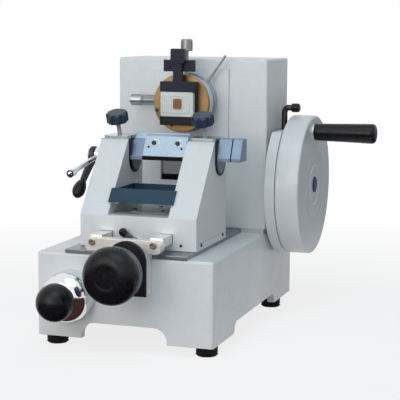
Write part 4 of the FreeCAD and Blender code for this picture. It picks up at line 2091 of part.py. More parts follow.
def main_shaft():
    """Main shaft with the crank disc and its pin."""
    piece = Piece("main_shaft")
    face = crank_face()
    outline = [
        corner(face, ZERO),
        corner(face, at.crank_radius),
        corner(face + at.crank_thickness, at.crank_radius),
        corner(face + at.crank_thickness, at.shaft_radius),
        corner(wheel_right - at.shaft_short, at.shaft_radius),
        corner(wheel_right - at.shaft_short, ZERO),
    ]
    piece.turned("X", (wheel_y, at.wheel_z), outline)
    pin = circle(wheel_y, at.wheel_z + at.throw, at.crank_pin_radius)
    piece.pad("X", [pin], face - at.roller_gap - at.roller_length, face + at.overrun)
    keep("main_shaft", piece)

    roller = Piece("crank_roller")
    right = face - at.roller_gap
    ring = hub_outline(right - at.roller_length, right, at.roller_radius, at.crank_pin_radius + at.fit)
    roller.turned("X", (wheel_y, at.wheel_z + at.throw), ring)
    keep("crank_roller", roller)


def handwheel():
    """Dished handwheel: rim, web, hub and a ring groove on its face."""
    piece = Piece("handwheel")
    radius = at.wheel_radius
    curve = at.wheel_round
    web = wheel_right - at.web_thickness
    rim = radius - at.rim_thickness
    bore = at.shaft_radius + at.fit
    low = at.groove_radius - at.groove_width / 2
    high = at.groove_radius + at.groove_width / 2
    outline = [
        corner(wheel_left, bore),
        corner(wheel_left, at.hub_radius),
        corner(web, at.hub_radius),
        corner(web, rim),
        corner(wheel_left, rim),
        corner(wheel_left, radius - curve),
        bend(wheel_left + curve, radius, curve, -1),
        corner(wheel_right - curve, radius),
        bend(wheel_right, radius - curve, curve, -1),
        corner(wheel_right, high),
        corner(wheel_right - at.groove_depth, high),
        corner(wheel_right - at.groove_depth, low),
        corner(wheel_right, low),
        corner(wheel_right, ZERO),
        corner(wheel_right - at.shaft_short, ZERO),
        corner(wheel_right - at.shaft_short, bore),
    ]
    piece.turned("X", (wheel_y, at.wheel_z), outline)
    place = circle(wheel_y - at.handle_ahead, at.wheel_z + at.handle_above, at.handle_spindle + at.fit)
    piece.pocket("X", [place], wheel_right - at.handle_seat, wheel_right + at.overrun)
    keep("handwheel", piece)

    cap = Piece("hub_cap")
    end = wheel_right + at.hub_cap_thickness
    outline = [
        corner(wheel_right, ZERO),
        corner(wheel_right, at.cap_radius),
        corner(end - at.knob_edge, at.cap_radius),
        corner(end, at.cap_radius - at.knob_edge),
        corner(end, ZERO),
    ]
    cap.turned("X", (wheel_y, at.wheel_z), outline)
    keep("hub_cap", cap)


def crank_handle():
    """Handle: fixed spindle with a light collar, and the grip that turns on it."""
    centre = (wheel_y - at.handle_ahead, at.wheel_z + at.handle_above)
    collar = wheel_right + at.handle_collar_length
    spindle_end = grip_end - at.handle_tip
    spindle = Piece("handle_spindle")
    outline = [
        corner(wheel_right - at.handle_seat + at.fit, ZERO),
        corner(wheel_right - at.handle_seat + at.fit, at.handle_spindle),
        corner(wheel_right, at.handle_spindle),
        corner(wheel_right, at.handle_collar),
        corner(collar, at.handle_collar),
        corner(collar, at.handle_spindle),
        corner(spindle_end, at.handle_spindle),
        corner(spindle_end, ZERO),
    ]
    spindle.turned("X", centre, outline)
    keep("handle_spindle", spindle)

    grip = Piece("handle_grip")
    bore = at.handle_spindle + at.fit
    outline = [
        corner(grip_start, bore),
        corner(grip_start, at.handle_start - at.knob_edge),
        corner(grip_start + at.knob_edge, at.handle_start),
        corner(grip_end - at.handle_dome, at.handle_end),
        bend(grip_end, at.handle_end - at.handle_dome, at.handle_dome, -1),
        corner(grip_end, ZERO),
        corner(spindle_end + at.hub_gap, ZERO),
        corner(spindle_end + at.hub_gap, bore),
    ]
    grip.turned("X", centre, outline)
    keep("handle_grip", grip)


for make in (base_casting, rubber_feet, bed_rail, front_bracket, cover_plate, yoke_bar, yoke_screws,
             lead_screw, drive_knob, thickness_setting, carriage, gib_strip, seat_liners, cap_plates,
             clamp_screws, feed_nut, section_tray, lock_lever, knife_base, pressure_plate, blade,
             plate_screws, lever_spindle, blade_clamp_lever, tilt_clamp_lever, column_cover,
             column_frame, slide_block, face_plate, crank_yoke, feed_bridge, ratchet_wheel, quill,
             ball_stud, gimbal_ring, brass_disc, cassette_clamp, upper_jaw, cassette,
             orientation_screws, lock_ring, brake_drum, brake_lever, main_shaft, handwheel,
             crank_handle):
    make()

document.recompute()
for thing in document.Objects:
    if "Invalid" in thing.State or "Error" in thing.State:
        raise ValueError(f"{thing.Name}: {thing.State}")
for label, thing in nodes:
    shape = thing.Shape
    if shape.isNull() or not shape.isValid() or not shape.Solids:
        raise ValueError(f"{label}: no valid solid")
    shape.exportStep(f"parts/{label}.step")
    print(f"{label}: {len(shape.Solids)} solid(s), {shape.Volume:.1f} cubic millimetres")
print(f"{len(nodes)} sub-parts")
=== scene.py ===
import json
import math

import bmesh
import bpy
from bpy.props import FloatProperty, FloatVectorProperty, IntProperty, PointerProperty
from bpy.types import Operator, Panel, PropertyGroup
from mathutils import Euler, Matrix, Vector


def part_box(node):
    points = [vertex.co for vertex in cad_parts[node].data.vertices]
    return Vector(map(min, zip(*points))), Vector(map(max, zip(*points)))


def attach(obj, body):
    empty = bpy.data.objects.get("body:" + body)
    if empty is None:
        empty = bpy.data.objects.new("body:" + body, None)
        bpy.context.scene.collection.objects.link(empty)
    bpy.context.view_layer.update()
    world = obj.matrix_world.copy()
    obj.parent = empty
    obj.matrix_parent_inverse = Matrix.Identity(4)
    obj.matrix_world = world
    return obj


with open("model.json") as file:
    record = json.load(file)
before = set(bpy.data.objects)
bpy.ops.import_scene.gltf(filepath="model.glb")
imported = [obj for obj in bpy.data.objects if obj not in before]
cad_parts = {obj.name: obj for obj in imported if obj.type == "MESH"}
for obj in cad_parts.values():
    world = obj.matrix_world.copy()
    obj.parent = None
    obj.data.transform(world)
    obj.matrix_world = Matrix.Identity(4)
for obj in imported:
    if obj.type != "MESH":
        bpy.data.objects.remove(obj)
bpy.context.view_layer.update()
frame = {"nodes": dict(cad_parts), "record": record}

bl_info = {
    "name": "Rotary Microtome",
    "version": (1, 0, 0),
    "blender": (4, 5, 0),
    "location": "View3D > Sidebar > Microtome",
    "description": "Finishes, fine detail and a plain stage for a rotary microtome",
    "category": "Object",
}

SLOT_OF = {part["node"]: part["material_slot"] for part in frame["record"]["subparts"]}
BODY_OF = {node: body for body, nodes in frame["record"]["behaviour"]["bodies"].items()
           for node in nodes}

# Turns that bring an upright axis onto each direction of the frame
ALONG = {
    "X": Euler((0, math.radians(90), 0)),
    "Y": Euler((math.radians(-90), 0, 0)),
    "Z": Euler((0, 0, 0)),
}

# Parts that were turned on a lathe, with the direction of their axis
TURNED = {
    "brass_disc": "Y", "handwheel": "X", "hub_cap": "X", "thickness_bell": "Y",
    "feed_quill": "Y", "lead_screw": "Y", "thickness_spindle": "Y", "main_shaft": "X",
    "tilt_screw": "Z", "swivel_screw": "X", "handle_spindle": "X", "ratchet_wheel": "Y",
    "lock_ring": "Y", "ball_stud": "Y", "gimbal_ring": "Y", "crank_roller": "X",
}

MM = 0.001

# Points of a grown mesh that lie closer than this are one
WELD = 1e-7

WHITE = (1.0, 1.0, 1.0, 1.0)

# How far ahead of a surface a line starts that looks for it
AHEAD = 50 * MM

# The orientation screws: the body that each turns, its axis, whether its knob is at the
# upper end of that axis, and how far in from that end the flutes begin
SCREW_KNOBS = {
    "tilt_screw": ("tilt_knob", "Z", True, 2.4 * MM),
    "swivel_screw": ("swivel_knob", "X", False, 1.2 * MM),
}
FLUTE_LENGTH = 11.8 * MM
FLUTE_LIFT = 0.03 * MM
KNOB_LENGTH = 14.6 * MM
STEM_MARGIN = 0.6 * MM

# Small dark screws that the frame leaves out: the body that carries each group, the
# way that its heads look, and points ahead of them in millimetres, from which each is
# pressed back onto the surface
SCREWS = {
    "disc_screws": ("specimen_head", (0, -1, 0),
                    ((-35.1, -90, 284.7), (-83.9, -90, 255.1), (-64.9, -90, 237.8))),
    "deck_screws": ("carriage", (0, 0, 1),
                    ((-79.6, -55.2, 300), (-57.5, -29.0, 300), (-44.4, -58.5, 300))),
    "gib_screws": ("carriage", (1, 0, 0), ((90, -92.9, 117.0), (90, -14.4, 116.9))),
    # A plain dark disc of painted shade where the front hole is
    "front_hole": ("carriage", (0, -1, 0), ((-5.1, -180, 117.7),)),
}
# Shares of a head's radius: its height, its socket, and the radius of the front hole's disc of
# painted shade
HEAD_HEIGHT = 0.7
HEAD_SOCKET = 0.55
HOLE_RADIUS = 0.7
# How far the socket's cutter is raised, as a share of the head's height
SOCKET_RISE = 0.6

# The knife plate's two screws, across the machine, and the small pins beside them,
# across and up the plate, in millimetres
PLATE_SCREWS = (-61.4, -33.1)
PLATE_PINS = ((-69.0, -5.0), (-29.1, -6.3))
PLATE_LEAN = math.radians(29)
PLATE_RING = 4.2 * MM
PLATE_RING_THICKNESS = 1.3 * MM
PLATE_BESIDE = 1.6 * PLATE_RING
PIN_RADIUS = 1.4 * MM
PIN_HEIGHT = 1.0 * MM
PIN_SOCKET = 0.7 * MM

# The dark strip of painted shade under the knife plate, on the knife base's lip: its ends
# across the machine, its edges above the bench, and where the line to it starts, in millimetres
LIP_ENDS = (-74.6, -24.0)
LIP_EDGES = (203.0, 207.4)
LIP_AHEAD = -120
LIP_THICKNESS = 0.8 * MM
LIP_CORNER = 0.9 * MM

FOOT_RADIUS = 12.3 * MM
FOOT_HEIGHT = 12.5 * MM
FOOT_RIB = 1.4 * MM
FIRST_RIB = 0.6

# The ring behind the front knob, from the knob's foremost point; its grey is a painted highlight
# on the knob's step
KNOB_RING = 28.35 * MM
KNOB_RING_LENGTH = 10.5 * MM
KNOB_RING_BEHIND = 23.4 * MM
KNOB_RING_FLUTE = 0.3 * MM
KNOB_RING_FLUTES = 72

BORDER_INSET = 4.5 * MM
BORDER_THICKNESS = 1.2 * MM

WHEEL_RINGS = {"inner": 24 * MM, "outer": 43 * MM}
WHEEL_RING_THICKNESS = 1.8 * MM


def seen(red, green, blue):
    """A colour as it looks on a screen, 0 to 255, turned into light."""
    light = []
    for part in (red, green, blue):
        share = part / 255
        light.append(share / 12.92 if share <= 0.04045 else ((share + 0.055) / 1.055) ** 2.4)
    return tuple(light)


# Settings that a user would change


class MicrotomeSizes(PropertyGroup):
    """Sizes of the fine detail."""
    knurl_height: FloatProperty(
        name="Knurl height", description="How far the flutes of the small knobs stand out",
        default=0.0004, min=0.0, unit="LENGTH")
    knurl_count: IntProperty(
        name="Knurl count", description="Flutes round a small knob", default=40, min=8)
    thread_pitch: FloatProperty(
        name="Thread pitch", description="Rise of the small screws in one turn",
        default=0.001, min=0.0002, unit="LENGTH")
    thread_depth: FloatProperty(
        name="Thread depth", description="Height of the thread's ridge",
        default=0.0004, min=0.0, unit="LENGTH")
    edge_round: FloatProperty(
        name="Edge round", description="Radius that the light sees on sharp edges",
        default=0.0009, min=0.0, unit="LENGTH")
    screw_radius: FloatProperty(
        name="Screw head", description="Radius of the small screws' heads",
        default=0.0021, min=0.0002, unit="LENGTH")
    foot_ribs: IntProperty(
        name="Foot ribs", description="Moulded ribs round each foot", default=4, min=1)


class MicrotomeColours(PropertyGroup):
    """Colours of the finishes."""
    paint: FloatVectorProperty(
        name="Paint", description="Cream enamel of the castings", subtype="COLOR",
        default=seen(231, 232, 230), min=0.0, max=1.0)
    plastic: FloatVectorProperty(
        name="Black plastic", description="Knobs and grips", subtype="COLOR",
        default=seen(20, 20, 22), min=0.0, max=1.0)
    tray: FloatVectorProperty(
        name="Tray paint", description="Blue-grey paint of the section tray", subtype="COLOR",
        default=seen(46, 70, 86), min=0.0, max=1.0)
    brass: FloatVectorProperty(
        name="Brass", description="Orientation disc", subtype="COLOR",
        default=seen(150, 122, 80), min=0.0, max=1.0)
    cap: FloatVectorProperty(
        name="Hub cap", description="Plain cap on the wheel's hub", subtype="COLOR",
        default=seen(38, 48, 110), min=0.0, max=1.0)


# Node trees


def plug(tree, socket, value):
    """Join another socket to a socket, or set it to a plain value."""
    if isinstance(value, bpy.types.NodeSocket):
        tree.links.new(value, socket)
    else:
        socket.default_value = value


class Nodes:
    """A node tree that is filled one node at a time."""

    def __init__(self, tree):
        self.tree = tree

    def add(self, kind, inputs=None, **settings):
        node = self.tree.nodes.new(kind)
        for name, setting in settings.items():
            setattr(node, name, setting)
        for place, value in (inputs or {}).items():
            plug(self.tree, node.inputs[place], value)
        return node

    def math(self, operation, first, second=0.0):
        return self.add("ShaderNodeMath", {0: first, 1: second}, operation=operation).outputs[0]

    def blend_colour(self, share, first, second):
        node = self.add("ShaderNodeMix", {0: share, 6: first, 7: second}, data_type="RGBA")
        return node.outputs[2]

    def stretch(self, value, low, high, new_low, new_high):
        node = self.add("ShaderNodeMapRange", {
            "Value": value, "From Min": low, "From Max": high,
            "To Min": new_low, "To Max": new_high})
        return node.outputs["Result"]

    def mask(self, value, low, high):
        """Zero up to a low value, and one from a high one on."""
        return self.stretch(value, low, high, 0.0, 1.0)

    def between(self, share, first, second):
        """A share of the way from one value to another."""
        return self.stretch(share, 0.0, 1.0, first, second)


def effect(name, inputs, outputs):
    """The nodes of an empty shader group with named sockets, and its inputs."""
    tree = bpy.data.node_groups.new(name, "ShaderNodeTree")
    for label, kind, default in inputs:
        socket = tree.interface.new_socket(label, in_out="INPUT", socket_type=kind)
        if default is not None:
            socket.default_value = default
    for label, kind in outputs:
        tree.interface.new_socket(label, in_out="OUTPUT", socket_type=kind)
    nodes = Nodes(tree)
    return nodes, nodes.add("NodeGroupInput").outputs


def close_effect(nodes, results):
    """Join the results to the group's outputs, and return the group."""
    nodes.add("NodeGroupOutput", results)
    return nodes.tree


FLOAT = "NodeSocketFloat"
COLOUR = "NodeSocketColor"
VECTOR = "NodeSocketVector"


def make_handling_marks():
    """Faint cloudy marks of hands and cleaning, as a colour and a mask."""
    nodes, source = effect(
        "Handling Marks",
        [("Vector", VECTOR, None), ("Clean", COLOUR, None), ("Marked", COLOUR, None),
         ("Size", FLOAT, 20.0), ("Amount", FLOAT, 0.2)],
        [("Colour", COLOUR), ("Mask", FLOAT)])
    broad = nodes.add("ShaderNodeTexNoise", {
        "Vector": source["Vector"], "Scale": source["Size"], "Detail": 5.0, "Roughness": 0.62})
    fine_size = nodes.math("MULTIPLY", source["Size"], 9.0)
    fine = nodes.add("ShaderNodeTexNoise", {
        "Vector": source["Vector"], "Scale": fine_size, "Detail": 3.0})
    both = nodes.math("MULTIPLY", broad.outputs["Fac"], fine.outputs["Fac"])
    mask = nodes.mask(both, 0.22, 0.36)
    share = nodes.math("MULTIPLY", mask, source["Amount"])
    colour = nodes.blend_colour(share, source["Clean"], source["Marked"])
    return close_effect(nodes, {"Colour": colour, "Mask": mask})


def make_orange_peel():
    """Slow ripple and fine grain of sprayed enamel, as a height."""
    nodes, source = effect(
        "Orange Peel",
        [("Vector", VECTOR, None), ("Size", FLOAT, 420.0), ("Grain", FLOAT, 0.3)],
        [("Height", FLOAT)])
    ripple = nodes.add("ShaderNodeTexNoise", {
        "Vector": source["Vector"], "Scale": source["Size"], "Detail": 1.5})
    fine_size = nodes.math("MULTIPLY", source["Size"], 5.0)
    fine = nodes.add("ShaderNodeTexNoise", {
        "Vector": source["Vector"], "Scale": fine_size, "Detail": 1.0})
    grain = nodes.math("MULTIPLY", fine.outputs["Fac"], source["Grain"])
    return close_effect(nodes, {"Height": nodes.math("ADD", ripple.outputs["Fac"], grain)})


def make_soft_edge():
    """Rounded light along sharp edges, and a mask that lightens them: partly edge wear, partly a
    painted highlight.
    """
    nodes, source = effect(
        "Soft Edge", [("Radius", FLOAT, 0.001), ("Wear", FLOAT, 0.5)],
        [("Normal", VECTOR), ("Mask", FLOAT)])
    bevel = nodes.add("ShaderNodeBevel", {"Radius": source["Radius"]}, samples=6)
    flat = nodes.add("ShaderNodeNewGeometry")
    agree = nodes.add("ShaderNodeVectorMath", {
        0: bevel.outputs["Normal"], 1: flat.outputs["Normal"]}, operation="DOT_PRODUCT")
    bend = nodes.math("SUBTRACT", 1.0, agree.outputs["Value"])
    mask = nodes.mask(bend, 0.02, 0.25)
    worn_and_lit = nodes.math("MULTIPLY", mask, source["Wear"])
    return close_effect(nodes, {"Normal": bevel.outputs["Normal"], "Mask": worn_and_lit})


def make_brush_lines():
    """Fine lines of grinding or brushing along one direction."""
    nodes, source = effect(
        "Brush Lines",
        [("Vector", VECTOR, None), ("Stretch", VECTOR, (1.0, 60.0, 60.0)), ("Size", FLOAT, 60.0)],
        [("Height", FLOAT), ("Mask", FLOAT)])
    drawn = nodes.add("ShaderNodeVectorMath", {0: source["Vector"], 1: source["Stretch"]},
                      operation="MULTIPLY")
    lines = nodes.add("ShaderNodeTexNoise", {
        "Vector": drawn.outputs["Vector"], "Scale": source["Size"], "Detail": 4.0,
        "Roughness": 0.7})
    mask = nodes.mask(lines.outputs["Fac"], 0.35, 0.65)
    return close_effect(nodes, {"Height": lines.outputs["Fac"], "Mask": mask})


def make_turning_marks():
    """Rings that a lathe tool leaves round an upright axis."""
    nodes, source = effect(
        "Turning Marks", [("Vector", VECTOR, None), ("Density", FLOAT, 2500.0)],
        [("Height", FLOAT), ("Mask", FLOAT)])
    parts = nodes.add("ShaderNodeSeparateXYZ", {0: source["Vector"]})
    across = nodes.math("MULTIPLY", parts.outputs["X"], parts.outputs["X"])
    deep = nodes.math("MULTIPLY", parts.outputs["Y"], parts.outputs["Y"])
    radius = nodes.math("SQRT", nodes.math("ADD", across, deep))
    place = nodes.math("ADD", radius, parts.outputs["Z"])
    rings = nodes.add("ShaderNodeTexNoise", {
        "W": nodes.math("MULTIPLY", place, source["Density"]), "Scale": 1.0, "Detail": 3.0},
        noise_dimensions="1D")
    mask = nodes.mask(rings.outputs["Fac"], 0.35, 0.65)
    return close_effect(nodes, {"Height": rings.outputs["Fac"], "Mask": mask})


def make_settled_dust():
    """Thin dust on faces that look up, as a colour and a mask."""
    nodes, source = effect(
        "Settled Dust",
        [("Vector", VECTOR, None), ("Under", COLOUR, None), ("Dust", COLOUR, (0.5, 0.48, 0.45, 1)),
         ("Amount", FLOAT, 0.15)],
        [("Colour", COLOUR), ("Mask", FLOAT)])
    flat = nodes.add("ShaderNodeNewGeometry")
    parts = nodes.add("ShaderNodeSeparateXYZ", {0: flat.outputs["Normal"]})
    upward = nodes.mask(parts.outputs["Z"], 0.3, 1.0)
    specks = nodes.add("ShaderNodeTexNoise", {
        "Vector": source["Vector"], "Scale": 900.0, "Detail": 2.0, "Roughness": 0.7})
    cover = nodes.stretch(specks.outputs["Fac"], 0.42, 0.72, 0.15, 1.0)
    mask = nodes.math("MULTIPLY", nodes.math("MULTIPLY", upward, cover), source["Amount"])
    colour = nodes.blend_colour(mask, source["Under"], source["Dust"])
    return close_effect(nodes, {"Colour": colour, "Mask": mask})


EFFECTS = {
    "marks": make_handling_marks, "peel": make_orange_peel, "edge": make_soft_edge,
    "brush": make_brush_lines, "rings": make_turning_marks, "dust": make_settled_dust,
}
BUILT = {}


def built(make):
    """A node tree, which is made when it is first asked for."""
    if make not in BUILT:
        BUILT[make] = make()
    return BUILT[make]


class Finish:
    """A material that is built up from the shared effects."""

    def __init__(self, name):
        self.material = bpy.data.materials.new(name)
        self.material.use_nodes = True
        self.nodes = Nodes(self.material.node_tree)
        self.shader = self.material.node_tree.nodes["Principled BSDF"]
        self.place = self.nodes.add("ShaderNodeTexCoord").outputs["Object"]

    def centre_on(self, node, axis):
        """Measure the pattern from a part's middle, with its axis upright."""
        low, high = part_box(node)
        mapping = self.nodes.add("ShaderNodeMapping", {
            "Vector": self.place, "Location": (low + high) / 2, "Rotation": ALONG[axis]},
            vector_type="TEXTURE")
        self.place = mapping.outputs["Vector"]

    def use(self, name, inputs):
        """Place one of the shared effects, and return its outputs."""
        group = built(EFFECTS[name])
        return self.nodes.add("ShaderNodeGroup", inputs, node_tree=group).outputs

    def set(self, **values):
        """Set or join the shader's own sockets; underscores stand for spaces."""
        for label, value in values.items():
            socket = self.shader.inputs[label.replace("_", " ")]
            plug(self.material.node_tree, socket, value)

    def bump(self, height, distance, strength, normal=None):
        """Raise the surface by a height, over a given normal."""
        inputs = {"Height": height, "Distance": distance, "Strength": strength}
        if normal is not None:
            inputs["Normal"] = normal
        self.set(Normal=self.nodes.add("ShaderNodeBump", inputs).outputs["Normal"])


def opaque(colour):
    """A colour with its alpha."""
    return (*tuple(colour)[:3], 1.0)


def scaled(colour, share, lift=0.0):
    """A colour made darker or lighter, with its alpha."""
    return opaque([min(1.0, part * share + lift) for part in tuple(colour)[:3]])


def edge_round(share):
    """A share of the radius that the light sees on sharp edges."""
    return bpy.context.scene.microtome_sizes.edge_round * share


def enamel(name, colour, roughness, coat=0.25, shine=0.5):
    """Sprayed enamel: orange peel, soft edges, faint handling marks and dust."""
    finish = Finish(name)
    edge = finish.use("edge", {"Radius": edge_round(1.0), "Wear": 0.4})
    marks = finish.use("marks", {
        "Vector": finish.place, "Clean": opaque(colour), "Marked": scaled(colour, 0.80),
        "Size": 16.0, "Amount": 0.16})
    dust = finish.use("dust", {
        "Vector": finish.place, "Under": marks["Colour"],
        "Dust": scaled(colour, 0.9, lift=0.02), "Amount": 0.22})
    # Lighter edges: partly wear, partly a painted highlight
    worn_and_lit = finish.nodes.blend_colour(edge["Mask"], dust["Colour"], scaled(colour, 1.12))
    peel = finish.use("peel", {"Vector": finish.place, "Size": 420.0, "Grain": 0.35})
    rough = finish.nodes.between(marks["Mask"], roughness, roughness + 0.14)
    finish.set(Base_Color=worn_and_lit, Roughness=rough, Coat_Weight=coat, Coat_Roughness=0.12,
               Specular_IOR_Level=shine)
    finish.bump(peel["Height"], distance=0.00012, strength=0.35, normal=edge["Normal"])
    return finish.material


# What sets ground metal apart from turned metal: how dark, large and strong its marks
# are, how much its edges are lightened by wear and a painted highlight, and what its lines do to
# roughness and height
GROUND = {"marked": 0.72, "size": 40.0, "amount": 0.35, "edge": 1.3,
          "smooth": -0.07, "coarse": 0.10, "distance": 0.00003, "strength": 0.5}
LATHED = {"marked": 0.62, "size": 45.0, "amount": 0.3, "edge": 1.25,
          "smooth": -0.05, "coarse": 0.09, "distance": 0.00004, "strength": 0.45}


def metal(name, colour, roughness, part, axis):
    """Bare metal with brush lines, or with tool rings where it was turned about an axis."""
    finish = Finish(name)
    trace = LATHED if axis else GROUND
    edge = finish.use("edge", {"Radius": edge_round(0.5), "Wear": 0.8})
    if axis:
        finish.centre_on(part, axis)
        lines = finish.use("rings", {"Vector": finish.place, "Density": 2500.0})
    else:
        lines = finish.use("brush", {
            "Vector": finish.place, "Stretch": (1.0, 60.0, 60.0), "Size": 60.0})
    marks = finish.use("marks", {
        "Vector": finish.place, "Clean": opaque(colour),
        "Marked": scaled(colour, trace["marked"]), "Size": trace["size"],
        "Amount": trace["amount"]})
    # Lighter edges: partly wear, partly a painted highlight
    bright = finish.nodes.blend_colour(edge["Mask"], marks["Colour"],
                                       scaled(colour, trace["edge"]))
    rough = finish.nodes.between(lines["Mask"], roughness + trace["smooth"],
                                 roughness + trace["coarse"])
    finish.set(Base_Color=bright, Metallic=1.0, Roughness=rough)
    finish.bump(lines["Height"], trace["distance"], trace["strength"], edge["Normal"])
    return finish.material


def chromed(name, colour, roughness):
    """Bright chrome over a slightly wavy polish, with fine wipe marks."""
    finish = Finish(name)
    peel = finish.use("peel", {"Vector": finish.place, "Size": 90.0, "Grain": 0.05})
    marks = finish.use("marks", {
        "Vector": finish.place, "Clean": opaque(colour), "Marked": scaled(colour, 0.85),
        "Size": 60.0, "Amount": 0.3})
    rough = finish.nodes.between(marks["Mask"], roughness, roughness + 0.09)
    finish.set(Base_Color=marks["Colour"], Metallic=1.0, Roughness=rough)
    finish.bump(peel["Height"], distance=0.0002, strength=0.12)
    return finish.material


def moulded(name, colour, roughness, grain=1400.0, depth=0.00004, shine=0.5):
    """Moulded plastic or rubber: fine grain, wipe marks and a little dust."""
    finish = Finish(name)
    edge = finish.use("edge", {"Radius": edge_round(0.6), "Wear": 0.5})
    marks = finish.use("marks", {
        "Vector": finish.place, "Clean": opaque(colour),
        "Marked": scaled(colour, 1.5, lift=0.002), "Size": 30.0, "Amount": 0.4})
    dust = finish.use("dust", {
        "Vector": finish.place, "Under": marks["Colour"],
        "Dust": opaque(seen(120, 118, 114)), "Amount": 0.06})
    # Lighter edges: partly wear, partly a painted highlight
    lighter = finish.nodes.blend_colour(edge["Mask"], dust["Colour"],
                                        scaled(colour, 1.6, lift=0.004))
    peel = finish.use("peel", {"Vector": finish.place, "Size": grain, "Grain": 0.6})
    rough = finish.nodes.between(marks["Mask"], roughness, roughness + 0.12)
    finish.set(Base_Color=lighter, Roughness=rough, Specular_IOR_Level=shine)
    finish.bump(peel["Height"], depth, strength=0.4, normal=edge["Normal"])
    return finish.material


def waxen(name, colour, roughness):
    """Paraffin with embedded tissue: soft, slightly cloudy."""
    finish = Finish(name)
    marks = finish.use("marks", {
        "Vector": finish.place, "Clean": opaque(colour), "Marked": scaled(colour, 0.55),
        "Size": 160.0, "Amount": 0.6})
    peel = finish.use("peel", {"Vector": finish.place, "Size": 700.0, "Grain": 0.4})
    finish.set(Base_Color=marks["Colour"], Roughness=roughness, Subsurface_Weight=0.25,
               Subsurface_Radius=(0.002, 0.0012, 0.0006), Subsurface_Scale=1.0)
    finish.bump(peel["Height"], distance=0.0001, strength=0.4)
    return finish.material


# The look of each slot, and of each part that differs from the rest of its slot: the
# kind of finish, its colour on a screen or the name of a user's colour, its roughness,
# and what else that kind takes
BLACKENED = {"grain": 900.0, "shine": 0.2}
LOOKS = {
    "cream_paint": (enamel, "paint", 0.34, {"coat": 0.15}),
    "white_enamel": (enamel, (214, 222, 228), 0.28, {}),
    "blue_grey_paint": (enamel, "tray", 0.5, {"coat": 0.0, "shine": 0.2}),
    "black_metal": (moulded, (32, 33, 36), 0.5, BLACKENED),
    # Black jaw with a faint blue tint that paints a reflection
    "upper_jaw": (moulded, (40, 42, 54), 0.5, BLACKENED),
    "cast_iron": (moulded, (70, 72, 75), 0.6, {"grain": 500.0, "depth": 0.0003, "shine": 0.2}),
    "rubber": (moulded, (24, 24, 25), 0.7, {"grain": 800.0, "depth": 0.0001, "shine": 0.15}),
    "black_plastic": (moulded, "plastic", 0.24, {"shine": 0.2}),
    # Black plastic with a blue tint that paints the reflection of the light above
    "star_knob_left": (moulded, (44, 60, 80), 0.34, {"shine": 0.35}),
    "star_knob_right": (moulded, (44, 60, 80), 0.34, {"shine": 0.35}),
    # Grey that paints the highlight on the step behind the black front knob
    "knob_ring": (moulded, (104, 104, 107), 0.42, {"shine": 0.3}),
    # Near-black painted shade, for the front hole and under the knife plate's lip
    "dark_hole": (moulded, (16, 16, 17), 0.6, {"shine": 0.1}),
    "blue_cap": (moulded, "cap", 0.4, {"shine": 0.3}),
    "cassette_plastic": (moulded, (220, 224, 218), 0.5, {"shine": 0.3}),
    "wax": (waxen, (152, 92, 30), 0.38, {}),
    "chrome": (chromed, (226, 230, 234), 0.05, {}),
    "brass": (metal, "brass", 0.34, {}),
    "aluminium": (metal, (232, 231, 226), 0.42, {}),
    "steel": (metal, (168, 172, 176), 0.34, {}),
    # Steel with a blue tint that paints the reflection of the light above
    "bright_steel": (metal, (156, 172, 186), 0.38, {}),
    "dark_steel": (metal, (66, 66, 68), 0.40, {}),
    # Steel darkened to paint the shade that the bed plate lies in
    "bed_rail": (metal, (140, 147, 155), 0.36, {}),
    # Near-black steel that paints the shade in the seats round the knife bar
    "seat_liners": (metal, (40, 45, 52), 0.42, {}),
    "yoke_screws": (metal, (150, 140, 128), 0.38, {}),
    # Darker steel with the same blue tint, a painted reflection of the light above
    "knife_base": (metal, (118, 134, 150), 0.40, {}),
    "cap_plates": (metal, (186, 194, 202), 0.22, {}),
    "lock_lever": (metal, (84, 86, 92), 0.40, {}),
    "brake_lever": (metal, (74, 70, 64), 0.32, {}),
    "tilt_screw": (metal, (150, 151, 150), 0.36, {}),
    "swivel_screw": (metal, (172, 177, 178), 0.34, {}),
}


def finish_for(slot, node):
    """A slot's finish, or a part's own where it differs or its pattern needs a centre."""
    axis = TURNED.get(node)
    name = f"{slot}.{node}" if axis or node in LOOKS else slot
    known = bpy.data.materials.get(name)
    if known and known.get("ready"):
        return known
    if known:
        # The plain material that came with the frame gives up its name
        known.name = name + ".packed"
    kind, colour, roughness, more = LOOKS.get(node) or LOOKS[slot]
    if isinstance(colour, str):
        colour = getattr(bpy.context.scene.microtome_colours, colour)
    else:
        colour = seen(*colour)
    if kind is metal:
        more = {"part": node, "axis": axis}
    material = kind(name, colour, roughness, **more)
    material["ready"] = True
    return material


# Grown pieces


def geometry(name, inputs):
    """The nodes of an empty geometry tree with named inputs, and those inputs."""
    tree = bpy.data.node_groups.new(name, "GeometryNodeTree")
    tree.interface.new_socket("Geometry", in_out="INPUT", socket_type="NodeSocketGeometry")
    for label, kind in inputs:
        tree.interface.new_socket(label, in_out="INPUT", socket_type=kind)
    tree.interface.new_socket("Geometry", in_out="OUTPUT", socket_type="NodeSocketGeometry")
    nodes = Nodes(tree)
    return nodes, nodes.add("NodeGroupInput").outputs


def put(nodes, shape, source):
    """Turn a grown shape and bring it to its place."""
    placed = nodes.add("GeometryNodeTransform", {
        "Geometry": shape, "Translation": source["Place"], "Rotation": source["Turn"]})
    return placed.outputs["Geometry"]


def on_points(nodes, shape, source):
    """Copies of a shape on the points that the tree is given, all turned alike."""
    copies = nodes.add("GeometryNodeInstanceOnPoints", {
        "Points": source["Geometry"], "Instance": shape, "Rotation": source["Turn"]})
    return copies.outputs["Instances"]


def swept(nodes, path, section, capped=False):
    """A section drawn along a path."""
    drawn = nodes.add("GeometryNodeCurveToMesh", {
        "Curve": path.outputs["Curve"], "Profile Curve": section.outputs["Curve"],
        "Fill Caps": capped})
    return drawn.outputs["Mesh"]


